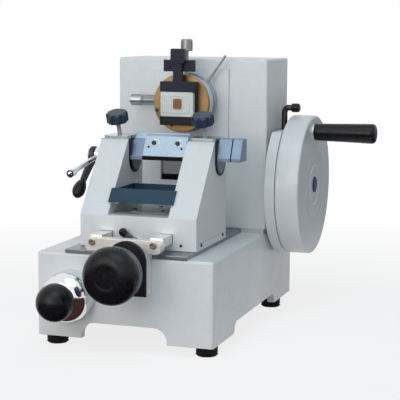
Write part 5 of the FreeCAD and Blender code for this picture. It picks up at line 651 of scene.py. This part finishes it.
def end_geometry(nodes, shape, source):
    """Make the grown shape real, paint it, and return the tree."""
    real = nodes.add("GeometryNodeRealizeInstances", {"Geometry": shape})
    painted = nodes.add("GeometryNodeSetMaterial", {
        "Geometry": real.outputs["Geometry"], "Material": source["Material"]})
    nodes.add("NodeGroupOutput", {"Geometry": painted.outputs["Geometry"]})
    return nodes.tree


PLACED = [("Place", VECTOR), ("Turn", "NodeSocketRotation"), ("Material", "NodeSocketMaterial")]


def make_fluted_band():
    """A straight-knurled band: a star-shaped section drawn along an axis."""
    nodes, source = geometry("Fluted Band", [
        ("Radius", FLOAT), ("Length", FLOAT), ("Height", FLOAT), ("Count", "NodeSocketInt"),
        *PLACED])
    outer = nodes.math("ADD", source["Radius"], source["Height"])
    section = nodes.add("GeometryNodeCurveStar", {
        "Points": source["Count"], "Inner Radius": source["Radius"], "Outer Radius": outer})
    end = nodes.add("ShaderNodeCombineXYZ", {"Z": source["Length"]})
    line = nodes.add("GeometryNodeCurvePrimitiveLine", {"End": end.outputs["Vector"]})
    band = swept(nodes, line, section, capped=True)
    return end_geometry(nodes, put(nodes, band, source), source)


def make_screw_thread():
    """A thread: a small ridge wound round an axis."""
    nodes, source = geometry("Screw Thread", [
        ("Radius", FLOAT), ("Length", FLOAT), ("Pitch", FLOAT), ("Depth", FLOAT), *PLACED])
    turns = nodes.math("DIVIDE", source["Length"], source["Pitch"])
    spiral = nodes.add("GeometryNodeCurveSpiral", {
        "Resolution": 28, "Rotations": turns, "Start Radius": source["Radius"],
        "End Radius": source["Radius"], "Height": source["Length"]})
    ridge = nodes.add("GeometryNodeCurvePrimitiveCircle", {
        "Resolution": 6, "Radius": source["Depth"]})
    thread = swept(nodes, spiral, ridge, capped=True)
    return end_geometry(nodes, put(nodes, thread, source), source)


def make_screw_heads():
    """Socket screws on points: a low drum with a six-sided hole in its outer half."""
    nodes, source = geometry("Screw Heads", [
        ("Radius", FLOAT), ("Height", FLOAT), ("Socket", FLOAT), *PLACED])
    drum = nodes.add("GeometryNodeMeshCylinder", {
        "Vertices": 24, "Radius": source["Radius"], "Depth": source["Height"]})
    hexagon = nodes.add("GeometryNodeMeshCylinder", {
        "Vertices": 6, "Radius": source["Socket"], "Depth": source["Height"]})
    lift = nodes.add("ShaderNodeCombineXYZ", {
        "Z": nodes.math("MULTIPLY", source["Height"], SOCKET_RISE)})
    raised = nodes.add("GeometryNodeTransform", {
        "Geometry": hexagon.outputs["Mesh"], "Translation": lift.outputs["Vector"]})
    head = nodes.add("GeometryNodeMeshBoolean", {
        0: drum.outputs["Mesh"], 1: raised.outputs["Geometry"]}, operation="DIFFERENCE")
    return end_geometry(nodes, on_points(nodes, head.outputs["Mesh"], source), source)


def make_rings():
    """Round-sectioned rings on points."""
    nodes, source = geometry("Rings", [
        ("Radius", FLOAT), ("Thickness", FLOAT), *PLACED])
    line = nodes.add("GeometryNodeCurvePrimitiveCircle", {
        "Resolution": 48, "Radius": source["Radius"]})
    section = nodes.add("GeometryNodeCurvePrimitiveCircle", {
        "Resolution": 8, "Radius": nodes.math("MULTIPLY", source["Thickness"], 0.5)})
    ring = swept(nodes, line, section)
    return end_geometry(nodes, on_points(nodes, ring, source), source)


def make_strip():
    """A flat strip with rounded corners."""
    nodes, source = geometry("Strip", [
        ("Width", FLOAT), ("Height", FLOAT), ("Thickness", FLOAT), ("Corner", FLOAT), *PLACED])
    outline = nodes.add("GeometryNodeCurvePrimitiveQuadrilateral", {
        "Width": source["Width"], "Height": source["Height"]})
    rounded = nodes.add("GeometryNodeFilletCurve", {
        "Curve": outline.outputs["Curve"], "Count": 6, "Radius": source["Corner"]}, mode="POLY")
    face = nodes.add("GeometryNodeFillCurve", {"Curve": rounded.outputs["Curve"]}, mode="NGONS")
    raised = nodes.add("GeometryNodeExtrudeMesh", {
        "Mesh": face.outputs["Mesh"], "Offset Scale": source["Thickness"]})
    both = nodes.add("GeometryNodeJoinGeometry", {0: raised.outputs["Mesh"]})
    nodes.tree.links.new(face.outputs["Mesh"], both.inputs[0])
    return end_geometry(nodes, put(nodes, both.outputs["Geometry"], source), source)


def make_border():
    """A raised, round-topped border along a rectangle."""
    nodes, source = geometry("Border", [
        ("Width", FLOAT), ("Height", FLOAT), ("Thickness", FLOAT), *PLACED])
    outline = nodes.add("GeometryNodeCurvePrimitiveQuadrilateral", {
        "Width": source["Width"], "Height": source["Height"]})
    section = nodes.add("GeometryNodeCurvePrimitiveCircle", {
        "Resolution": 12, "Radius": nodes.math("MULTIPLY", source["Thickness"], 0.5)})
    border = swept(nodes, outline, section)
    return end_geometry(nodes, put(nodes, border, source), source)


def grow(name, make, inputs, material, body, points=()):
    """Run a geometry tree once and keep its result as a plain piece on a body."""
    tree = built(make)
    start = bpy.data.meshes.new(name + ".seed")
    start.from_pydata([tuple(point) for point in points], [], [])
    seed = bpy.data.objects.new(name + ".seed", start)
    bpy.context.scene.collection.objects.link(seed)
    modifier = seed.modifiers.new("Grow", "NODES")
    modifier.node_group = tree
    for item in tree.interface.items_tree:
        if item.in_out == "INPUT" and item.name in inputs:
            modifier[item.identifier] = inputs[item.name]
        if item.in_out == "INPUT" and item.name == "Material":
            modifier[item.identifier] = material
    bpy.context.view_layer.update()
    graph = bpy.context.evaluated_depsgraph_get()
    mesh = bpy.data.meshes.new_from_object(seed.evaluated_get(graph), depsgraph=graph)
    bpy.data.objects.remove(seed)
    if not mesh.polygons:
        raise RuntimeError(f"{name}: the geometry tree gave no faces")
    return settle(name, mesh, material, body)


def settle(name, mesh, material, body):
    """Put a finished mesh in the scene, with its normals out, and let it ride on its body."""
    shape = bmesh.new()
    shape.from_mesh(mesh)
    bmesh.ops.remove_doubles(shape, verts=shape.verts, dist=WELD)
    bmesh.ops.recalc_face_normals(shape, faces=shape.faces)
    shape.to_mesh(mesh)
    shape.free()
    mesh.materials.clear()
    mesh.materials.append(material)
    mesh.name = name
    piece = bpy.data.objects.new(name, mesh)
    bpy.context.scene.collection.objects.link(piece)
    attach(piece, body)
    return piece


def looking(direction):
    """The turn that makes an upright axis look along a direction."""
    return Vector(direction).to_track_quat("Z", "Y").to_euler()


def pressed_on(nodes, start, direction):
    """Where a line from a point first meets one of some parts."""
    spots = []
    for name in nodes:
        hit, spot, _, _ = frame["nodes"][name].ray_cast(Vector(start), Vector(direction))
        if hit:
            spots.append(spot)
    if not spots:
        raise RuntimeError(f"the line from {tuple(start)} meets none of {nodes}")
    return min(spots, key=lambda spot: (spot - Vector(start)).length)


def stem_radius(node, axis, start, end):
    """The radius that most of a turned stem has between two places along its axis."""
    low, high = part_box(node)
    middle = (low + high) / 2
    along = "XYZ".index(axis)
    tally = {}
    for vertex in frame["nodes"][node].data.vertices:
        if start < vertex.co[along] < end:
            off = vertex.co - middle
            off[along] = 0
            reach = round(off.length, 5)
            tally[reach] = tally.get(reach, 0) + 1
    return max(tally, key=tally.get)


def knob_and_stem(node):
    """Where an orientation screw's flutes start, and the two ends of its thread."""
    _, axis, upper, rim = SCREW_KNOBS[node]
    low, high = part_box(node)
    along = "XYZ".index(axis)
    flutes = (low + high) / 2
    first = flutes.copy()
    if upper:
        flutes[along] = high[along] - rim - FLUTE_LENGTH
        first[along] = low[along] + STEM_MARGIN
        last = high[along] - KNOB_LENGTH
    else:
        flutes[along] = low[along] + rim
        first[along] = low[along] + KNOB_LENGTH
        last = high[along] - STEM_MARGIN
    return flutes, first, last


# Operators


class MICROTOME_OT_finish_parts(Operator):
    """Give every part of the frame its procedural finish."""
    bl_idname = "microtome.finish_parts"
    bl_label = "Finish Parts"

    def execute(self, context):
        for name, node in frame["nodes"].items():
            material = finish_for(SLOT_OF[name], name)
            if not node.material_slots:
                raise RuntimeError(f"{name} has no material slot")
            for place in node.material_slots:
                place.material = material
        return {"FINISHED"}


class MICROTOME_OT_knurled_knobs(Operator):
    """Flute the knobs of the two orientation screws."""
    bl_idname = "microtome.knurled_knobs"
    bl_label = "Knurled Knobs"

    def execute(self, context):
        sizes = context.scene.microtome_sizes
        for name, (body, axis, _, _) in SCREW_KNOBS.items():
            low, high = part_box(name)
            across = 0 if axis == "Z" else 2
            radius = (high[across] - low[across]) / 2
            flutes, _, _ = knob_and_stem(name)
            grow(name + "_knurl", make_fluted_band, {
                "Radius": radius + FLUTE_LIFT, "Length": FLUTE_LENGTH,
                "Height": sizes.knurl_height, "Count": sizes.knurl_count,
                "Place": flutes, "Turn": ALONG[axis],
            }, finish_for(SLOT_OF[name], name), body)
        return {"FINISHED"}


class MICROTOME_OT_screw_threads(Operator):
    """Wind threads round the stems of the two orientation screws."""
    bl_idname = "microtome.screw_threads"
    bl_label = "Screw Threads"

    def execute(self, context):
        sizes = context.scene.microtome_sizes
        for name, (body, axis, _, _) in SCREW_KNOBS.items():
            _, first, last = knob_and_stem(name)
            start = first["XYZ".index(axis)]
            radius = stem_radius(name, axis, start - 2 * STEM_MARGIN, last + STEM_MARGIN)
            grow(name + "_thread", make_screw_thread, {
                "Radius": radius, "Length": last - start, "Pitch": sizes.thread_pitch,
                "Depth": sizes.thread_depth / 2, "Place": first, "Turn": ALONG[axis],
            }, finish_for(SLOT_OF[name], name), body)
        return {"FINISHED"}


class MICROTOME_OT_small_screws(Operator):
    """Set the small socket screws that the frame leaves out."""
    bl_idname = "microtome.small_screws"
    bl_label = "Small Screws"

    def execute(self, context):
        sizes = context.scene.microtome_sizes
        for name, (body, facing, ahead) in SCREWS.items():
            nodes = [node for node in BODY_OF if BODY_OF[node] == body]
            back = -Vector(facing)
            spots = [pressed_on(nodes, Vector(point) * MM, back) for point in ahead]
            # The front hole is a dark disc of painted shade, not a screw
            plain = name == "front_hole"
            radius = sizes.screw_radius * (HOLE_RADIUS if plain else 1.0)
            look = finish_for("dark_steel", "dark_hole" if plain else name)
            grow(name, make_screw_heads, {
                "Radius": radius, "Height": radius * HEAD_HEIGHT,
                "Socket": radius * HEAD_SOCKET, "Turn": looking(facing),
            }, look, body, spots)
        return {"FINISHED"}


class MICROTOME_OT_knife_plate(Operator):
    """Ring the knife plate's screws, and set the small pins beside them."""
    bl_idname = "microtome.knife_plate"
    bl_label = "Knife Plate"

    def execute(self, context):
        out = Vector((0, -math.cos(PLATE_LEAN), math.sin(PLATE_LEAN)))
        upward = Vector((0, math.sin(PLATE_LEAN), math.cos(PLATE_LEAN)))
        low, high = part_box("plate_screws")
        middle = (low + high) / 2 + out * AHEAD
        beside = Vector((PLATE_BESIDE, 0, 0))
        rings = []
        for across in PLATE_SCREWS:
            ahead = Vector((across * MM, middle.y, middle.z)) + beside
            rings.append(pressed_on(["pressure_plate"], ahead, -out) - beside)
        grow("plate_rings", make_rings, {
            "Radius": PLATE_RING, "Thickness": PLATE_RING_THICKNESS, "Turn": looking(out),
        }, finish_for("aluminium", "plate_rings"), "knife_holder", rings)
        pins = []
        for across, up in PLATE_PINS:
            ahead = Vector((across * MM, middle.y, middle.z)) + upward * up * MM
            pins.append(pressed_on(["pressure_plate"], ahead, -out))
        grow("plate_pins", make_screw_heads, {
            "Radius": PIN_RADIUS, "Height": PIN_HEIGHT, "Socket": PIN_SOCKET,
            "Turn": looking(out),
        }, finish_for("dark_steel", "plate_pins"), "knife_holder", pins)
        return {"FINISHED"}


class MICROTOME_OT_foot_ribs(Operator):
    """Mould ribs round the four rubber feet."""
    bl_idname = "microtome.foot_ribs"
    bl_label = "Foot Ribs"

    def execute(self, context):
        count = context.scene.microtome_sizes.foot_ribs
        low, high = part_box("rubber_feet")
        centres = [
            Vector((x, y, FOOT_HEIGHT * (step + FIRST_RIB) / count))
            for x in (low.x + FOOT_RADIUS, high.x - FOOT_RADIUS)
            for y in (low.y + FOOT_RADIUS, high.y - FOOT_RADIUS)
            for step in range(count)]
        grow("foot_ribs", make_rings, {
            "Radius": FOOT_RADIUS - FOOT_RIB / 2, "Thickness": FOOT_RIB,
            "Turn": looking((0, 0, 1)),
        }, finish_for("rubber", "foot_ribs"), "frame", centres)
        return {"FINISHED"}


class MICROTOME_OT_knob_ring(Operator):
    """Put the fluted ring behind the large front knob, its grey a painted highlight on the knob's
    step.
    """
    bl_idname = "microtome.knob_ring"
    bl_label = "Knob Ring"

    def execute(self, context):
        low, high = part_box("drive_knob")
        start = (low + high) / 2
        start.y = low.y + KNOB_RING_BEHIND
        grow("knob_ring", make_fluted_band, {
            "Radius": KNOB_RING, "Length": KNOB_RING_LENGTH, "Height": KNOB_RING_FLUTE,
            "Count": KNOB_RING_FLUTES, "Place": start, "Turn": ALONG["Y"],
        }, finish_for("black_plastic", "knob_ring"), BODY_OF["drive_knob"])
        return {"FINISHED"}


class MICROTOME_OT_cassette_border(Operator):
    """Raise the border round the cassette's face."""
    bl_idname = "microtome.cassette_border"
    bl_label = "Cassette Border"

    def execute(self, context):
        low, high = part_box("cassette")
        size = high - low
        middle = (low + high) / 2
        grow("cassette_border", make_border, {
            "Width": size.x - 2 * BORDER_INSET, "Height": size.z - 2 * BORDER_INSET,
            "Thickness": BORDER_THICKNESS, "Place": Vector((middle.x, low.y, middle.z)),
            "Turn": looking((0, -1, 0)),
        }, finish_for("cassette_plastic", "cassette"), BODY_OF["cassette"])
        return {"FINISHED"}


class MICROTOME_OT_lip_shade(Operator):
    """Lay a dark strip of painted shade along the front of the knife base's lip, under the knife
    plate.
    """
    bl_idname = "microtome.lip_strip"
    bl_label = "Lip Strip"

    def execute(self, context):
        left, right = LIP_ENDS
        low, high = LIP_EDGES
        ahead = Vector(((left + right) / 2, LIP_AHEAD, (low + high) / 2)) * MM
        spot = pressed_on(["knife_base"], ahead, (0, 1, 0))
        sunk = Vector((0, LIP_THICKNESS / 8, 0))
        grow("lip_strip", make_strip, {
            "Width": (right - left) * MM, "Height": (high - low) * MM,
            "Thickness": LIP_THICKNESS, "Corner": LIP_CORNER, "Place": spot + sunk,
            "Turn": looking((0, -1, 0)),
        }, finish_for("dark_steel", "dark_hole"), BODY_OF["knife_base"])
        return {"FINISHED"}


class MICROTOME_OT_wheel_rings(Operator):
    """Raise two fine rings on the handwheel's face."""
    bl_idname = "microtome.wheel_rings"
    bl_label = "Wheel Rings"

    def execute(self, context):
        low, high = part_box("handwheel")
        middle = (low + high) / 2
        for name, radius in WHEEL_RINGS.items():
            ahead = Vector((high.x + AHEAD, middle.y, middle.z - radius))
            spot = pressed_on(["handwheel"], ahead, (-1, 0, 0))
            grow(f"wheel_ring_{name}", make_rings, {
                "Radius": radius, "Thickness": WHEEL_RING_THICKNESS,
                "Turn": looking((1, 0, 0)),
            }, finish_for("cream_paint", "wheel_rings"), BODY_OF["handwheel"],
                [Vector((spot.x, middle.y, middle.z))])
        return {"FINISHED"}


class MICROTOME_OT_stage(Operator):
    """Build the camera, the pale floor, the soft lights and the white surroundings."""
    bl_idname = "microtome.stage"
    bl_label = "Stage"

    def execute(self, context):
        scene = context.scene
        scene.view_settings.view_transform = "Standard"
        place_camera(scene)
        build_floor(scene)
        for card in CARDS:
            build_card(scene, *card)
        for lamp in LAMPS:
            soft_light(*lamp)
        build_world(scene)
        return {"FINISHED"}


# The lamps: place, width, power and colour of each
LAMPS = (
    ("key_light", (-0.58, -1.75, 0.85), 1.3, 10.5, (1.0, 0.97, 0.95)),
    ("top_light", (0.25, -0.80, 1.60), 1.2, 10.5, (0.54, 0.79, 1.0)),
    ("fill_light", (0.10, -2.00, 0.40), 1.4, 4.5, (1.0, 0.95, 0.92)),
)

# Sheets on the floor that glow only for polished surfaces, as painted reflections of dark
# surroundings: two corners and a colour
CARDS = (
    ("dark_card", (-3.0, -4.0), (3.0, -0.14), (70, 44, 44)),
    ("side_card", (0.22, 0.05), (3.0, 5.0), (96, 104, 128)),
)
CARD_LIFT = 0.002

FLOOR_RADIUS = 9.0
FLOOR_GREY = 0.80
# The floor turns white between these distances from the object
FADE_START, FADE_END = 0.3, 0.9
LEAST_GLOW = 0.80

# What the surroundings give the light that isn't seen directly
SURROUND_LEVEL = 0.23

CAMERA_PLACE = Vector((0.44137, -1.39429, 0.35318))
CAMERA_TURN = math.radians(18.3)
CAMERA_DIP = math.radians(7.74)
CAMERA_ROLL = math.radians(0.44)
SENSOR = 36.0
FOCAL_SHARE = 1269.97 / 400.0
AIM = Vector((-0.032, 0.03, 0.15))


def place_camera(scene):
    """The camera at the photograph's angle."""
    ahead = Vector((-math.sin(CAMERA_TURN) * math.cos(CAMERA_DIP),
                    math.cos(CAMERA_TURN) * math.cos(CAMERA_DIP), -math.sin(CAMERA_DIP)))
    right = Vector((math.cos(CAMERA_TURN), math.sin(CAMERA_TURN), 0))
    up = right.cross(ahead)
    right_rolled = right * math.cos(CAMERA_ROLL) + up * math.sin(CAMERA_ROLL)
    up_rolled = up * math.cos(CAMERA_ROLL) - right * math.sin(CAMERA_ROLL)
    turn = Matrix((right_rolled, up_rolled, -ahead)).transposed()
    data = bpy.data.cameras.new("camera")
    data.sensor_width = SENSOR
    data.sensor_fit = "HORIZONTAL"
    data.lens = SENSOR * FOCAL_SHARE
    data.clip_start = 0.05
    data.clip_end = 50.0
    camera = bpy.data.objects.new("camera", data)
    camera.matrix_world = Matrix.Translation(CAMERA_PLACE) @ turn.to_4x4()
    scene.collection.objects.link(camera)
    scene.camera = camera


def soft_light(name, place, size, power, colour):
    """A large square lamp aimed at the object."""
    data = bpy.data.lights.new(name, "AREA")
    data.shape = "SQUARE"
    data.size = size
    data.energy = power
    data.color = colour
    lamp = bpy.data.objects.new(name, data)
    spot = Vector(place)
    lamp.matrix_world = Matrix.Translation(spot) @ (
        (AIM - spot).to_track_quat("-Z", "Y").to_matrix().to_4x4())
    bpy.context.scene.collection.objects.link(lamp)


def seen_directly(nodes):
    """One for what the camera, polish and glass show, and zero for other light."""
    path = nodes.add("ShaderNodeLightPath").outputs
    shown = nodes.math("MAXIMUM", path["Is Camera Ray"], path["Is Glossy Ray"])
    return nodes.math("MAXIMUM", shown, path["Is Transmission Ray"])


def finish_surface(material, nodes, share, first, second):
    """Mix two shaders by a share, as a material's surface."""
    mix = nodes.add("ShaderNodeMixShader", {0: share, 1: first, 2: second})
    surface = material.node_tree.nodes["Material Output"].inputs["Surface"]
    plug(material.node_tree, surface, mix.outputs["Shader"])


def stand_on_stage(scene, name, mesh, material):
    """Put a mesh in the scene as part of the stage."""
    mesh.materials.append(material)
    thing = bpy.data.objects.new(name, mesh)
    scene.collection.objects.link(thing)


def build_floor(scene):
    """A wide pale floor that keeps the object's shadow and fades into white."""
    mesh = bpy.data.meshes.new("floor")
    shape = bmesh.new()
    bmesh.ops.create_circle(shape, cap_ends=True, segments=64, radius=FLOOR_RADIUS)
    shape.to_mesh(mesh)
    shape.free()
    material = bpy.data.materials.new("floor")
    material.use_nodes = True
    nodes = Nodes(material.node_tree)
    shader = material.node_tree.nodes["Principled BSDF"]
    shader.inputs["Base Color"].default_value = opaque([FLOOR_GREY] * 3)
    shader.inputs["Roughness"].default_value = 0.9
    shown = seen_directly(nodes)
    place = nodes.add("ShaderNodeTexCoord").outputs["Object"]
    distance = nodes.add("ShaderNodeVectorMath", {0: place}, operation="LENGTH")
    fade = nodes.stretch(distance.outputs["Value"], FADE_START, FADE_END, LEAST_GLOW, 1.0)
    glow = nodes.add("ShaderNodeEmission", {"Color": WHITE, "Strength": 1.0})
    finish_surface(material, nodes, nodes.math("MULTIPLY", shown, fade),
                   shader.outputs["BSDF"], glow.outputs["Emission"])
    stand_on_stage(scene, "floor", mesh, material)


def build_card(scene, name, low, high, colour):
    """A coloured sheet on the floor between two corners that glows only for polish: a painted
    reflection.
    """
    mesh = bpy.data.meshes.new(name)
    (left, front), (right, back) = low, high
    corners = [(left, front), (right, front), (right, back), (left, back)]
    mesh.from_pydata([(x, y, CARD_LIFT) for x, y in corners], [], [(0, 1, 2, 3)])
    material = bpy.data.materials.new(name)
    material.use_nodes = True
    nodes = Nodes(material.node_tree)
    path = nodes.add("ShaderNodeLightPath")
    clear = nodes.add("ShaderNodeBsdfTransparent")
    painted_reflection = nodes.add("ShaderNodeEmission", {
        "Color": opaque(seen(*colour)), "Strength": 1.0})
    finish_surface(material, nodes, path.outputs["Is Glossy Ray"], clear.outputs["BSDF"],
                   painted_reflection.outputs["Emission"])
    stand_on_stage(scene, name, mesh, material)


def build_world(scene):
    """White surroundings for the camera and for polish, and a softer level for the light."""
    world = bpy.data.worlds.new("surroundings")
    scene.world = world
    world.use_nodes = True
    nodes = Nodes(world.node_tree)
    level = nodes.between(seen_directly(nodes), SURROUND_LEVEL, 1.0)
    background = world.node_tree.nodes["Background"]
    plug(world.node_tree, background.inputs["Color"], WHITE)
    plug(world.node_tree, background.inputs["Strength"], level)


class MICROTOME_PT_panel(Panel):
    """Lists the steps that dress the microtome."""
    bl_label = "Microtome"
    bl_idname = "MICROTOME_PT_panel"
    bl_space_type = "VIEW_3D"
    bl_region_type = "UI"
    bl_category = "Microtome"

    def draw(self, context):
        layout = self.layout
        for label, settings in (("Sizes", context.scene.microtome_sizes),
                                ("Colours", context.scene.microtome_colours)):
            box = layout.box()
            box.label(text=label)
            for name in settings.__annotations__:
                box.prop(settings, name)
        for step in STEPS:
            layout.operator(step.bl_idname)


STEPS = (
    MICROTOME_OT_stage,
    MICROTOME_OT_finish_parts,
    MICROTOME_OT_knurled_knobs,
    MICROTOME_OT_screw_threads,
    MICROTOME_OT_small_screws,
    MICROTOME_OT_knife_plate,
    MICROTOME_OT_foot_ribs,
    MICROTOME_OT_knob_ring,
    MICROTOME_OT_cassette_border,
    MICROTOME_OT_lip_shade,
    MICROTOME_OT_wheel_rings,
)
CLASSES = (MicrotomeSizes, MicrotomeColours, *STEPS, MICROTOME_PT_panel)


def register():
    for one in CLASSES:
        bpy.utils.register_class(one)
    bpy.types.Scene.microtome_sizes = PointerProperty(type=MicrotomeSizes)
    bpy.types.Scene.microtome_colours = PointerProperty(type=MicrotomeColours)


def unregister():
    del bpy.types.Scene.microtome_colours
    del bpy.types.Scene.microtome_sizes
    for one in reversed(CLASSES):
        bpy.utils.unregister_class(one)


def main():
    """Register the steps and run them in order."""
    register()
    for step in STEPS:
        group, name = step.bl_idname.split(".")
        getattr(getattr(bpy.ops, group), name)()


if __name__ == "__main__":
    main()
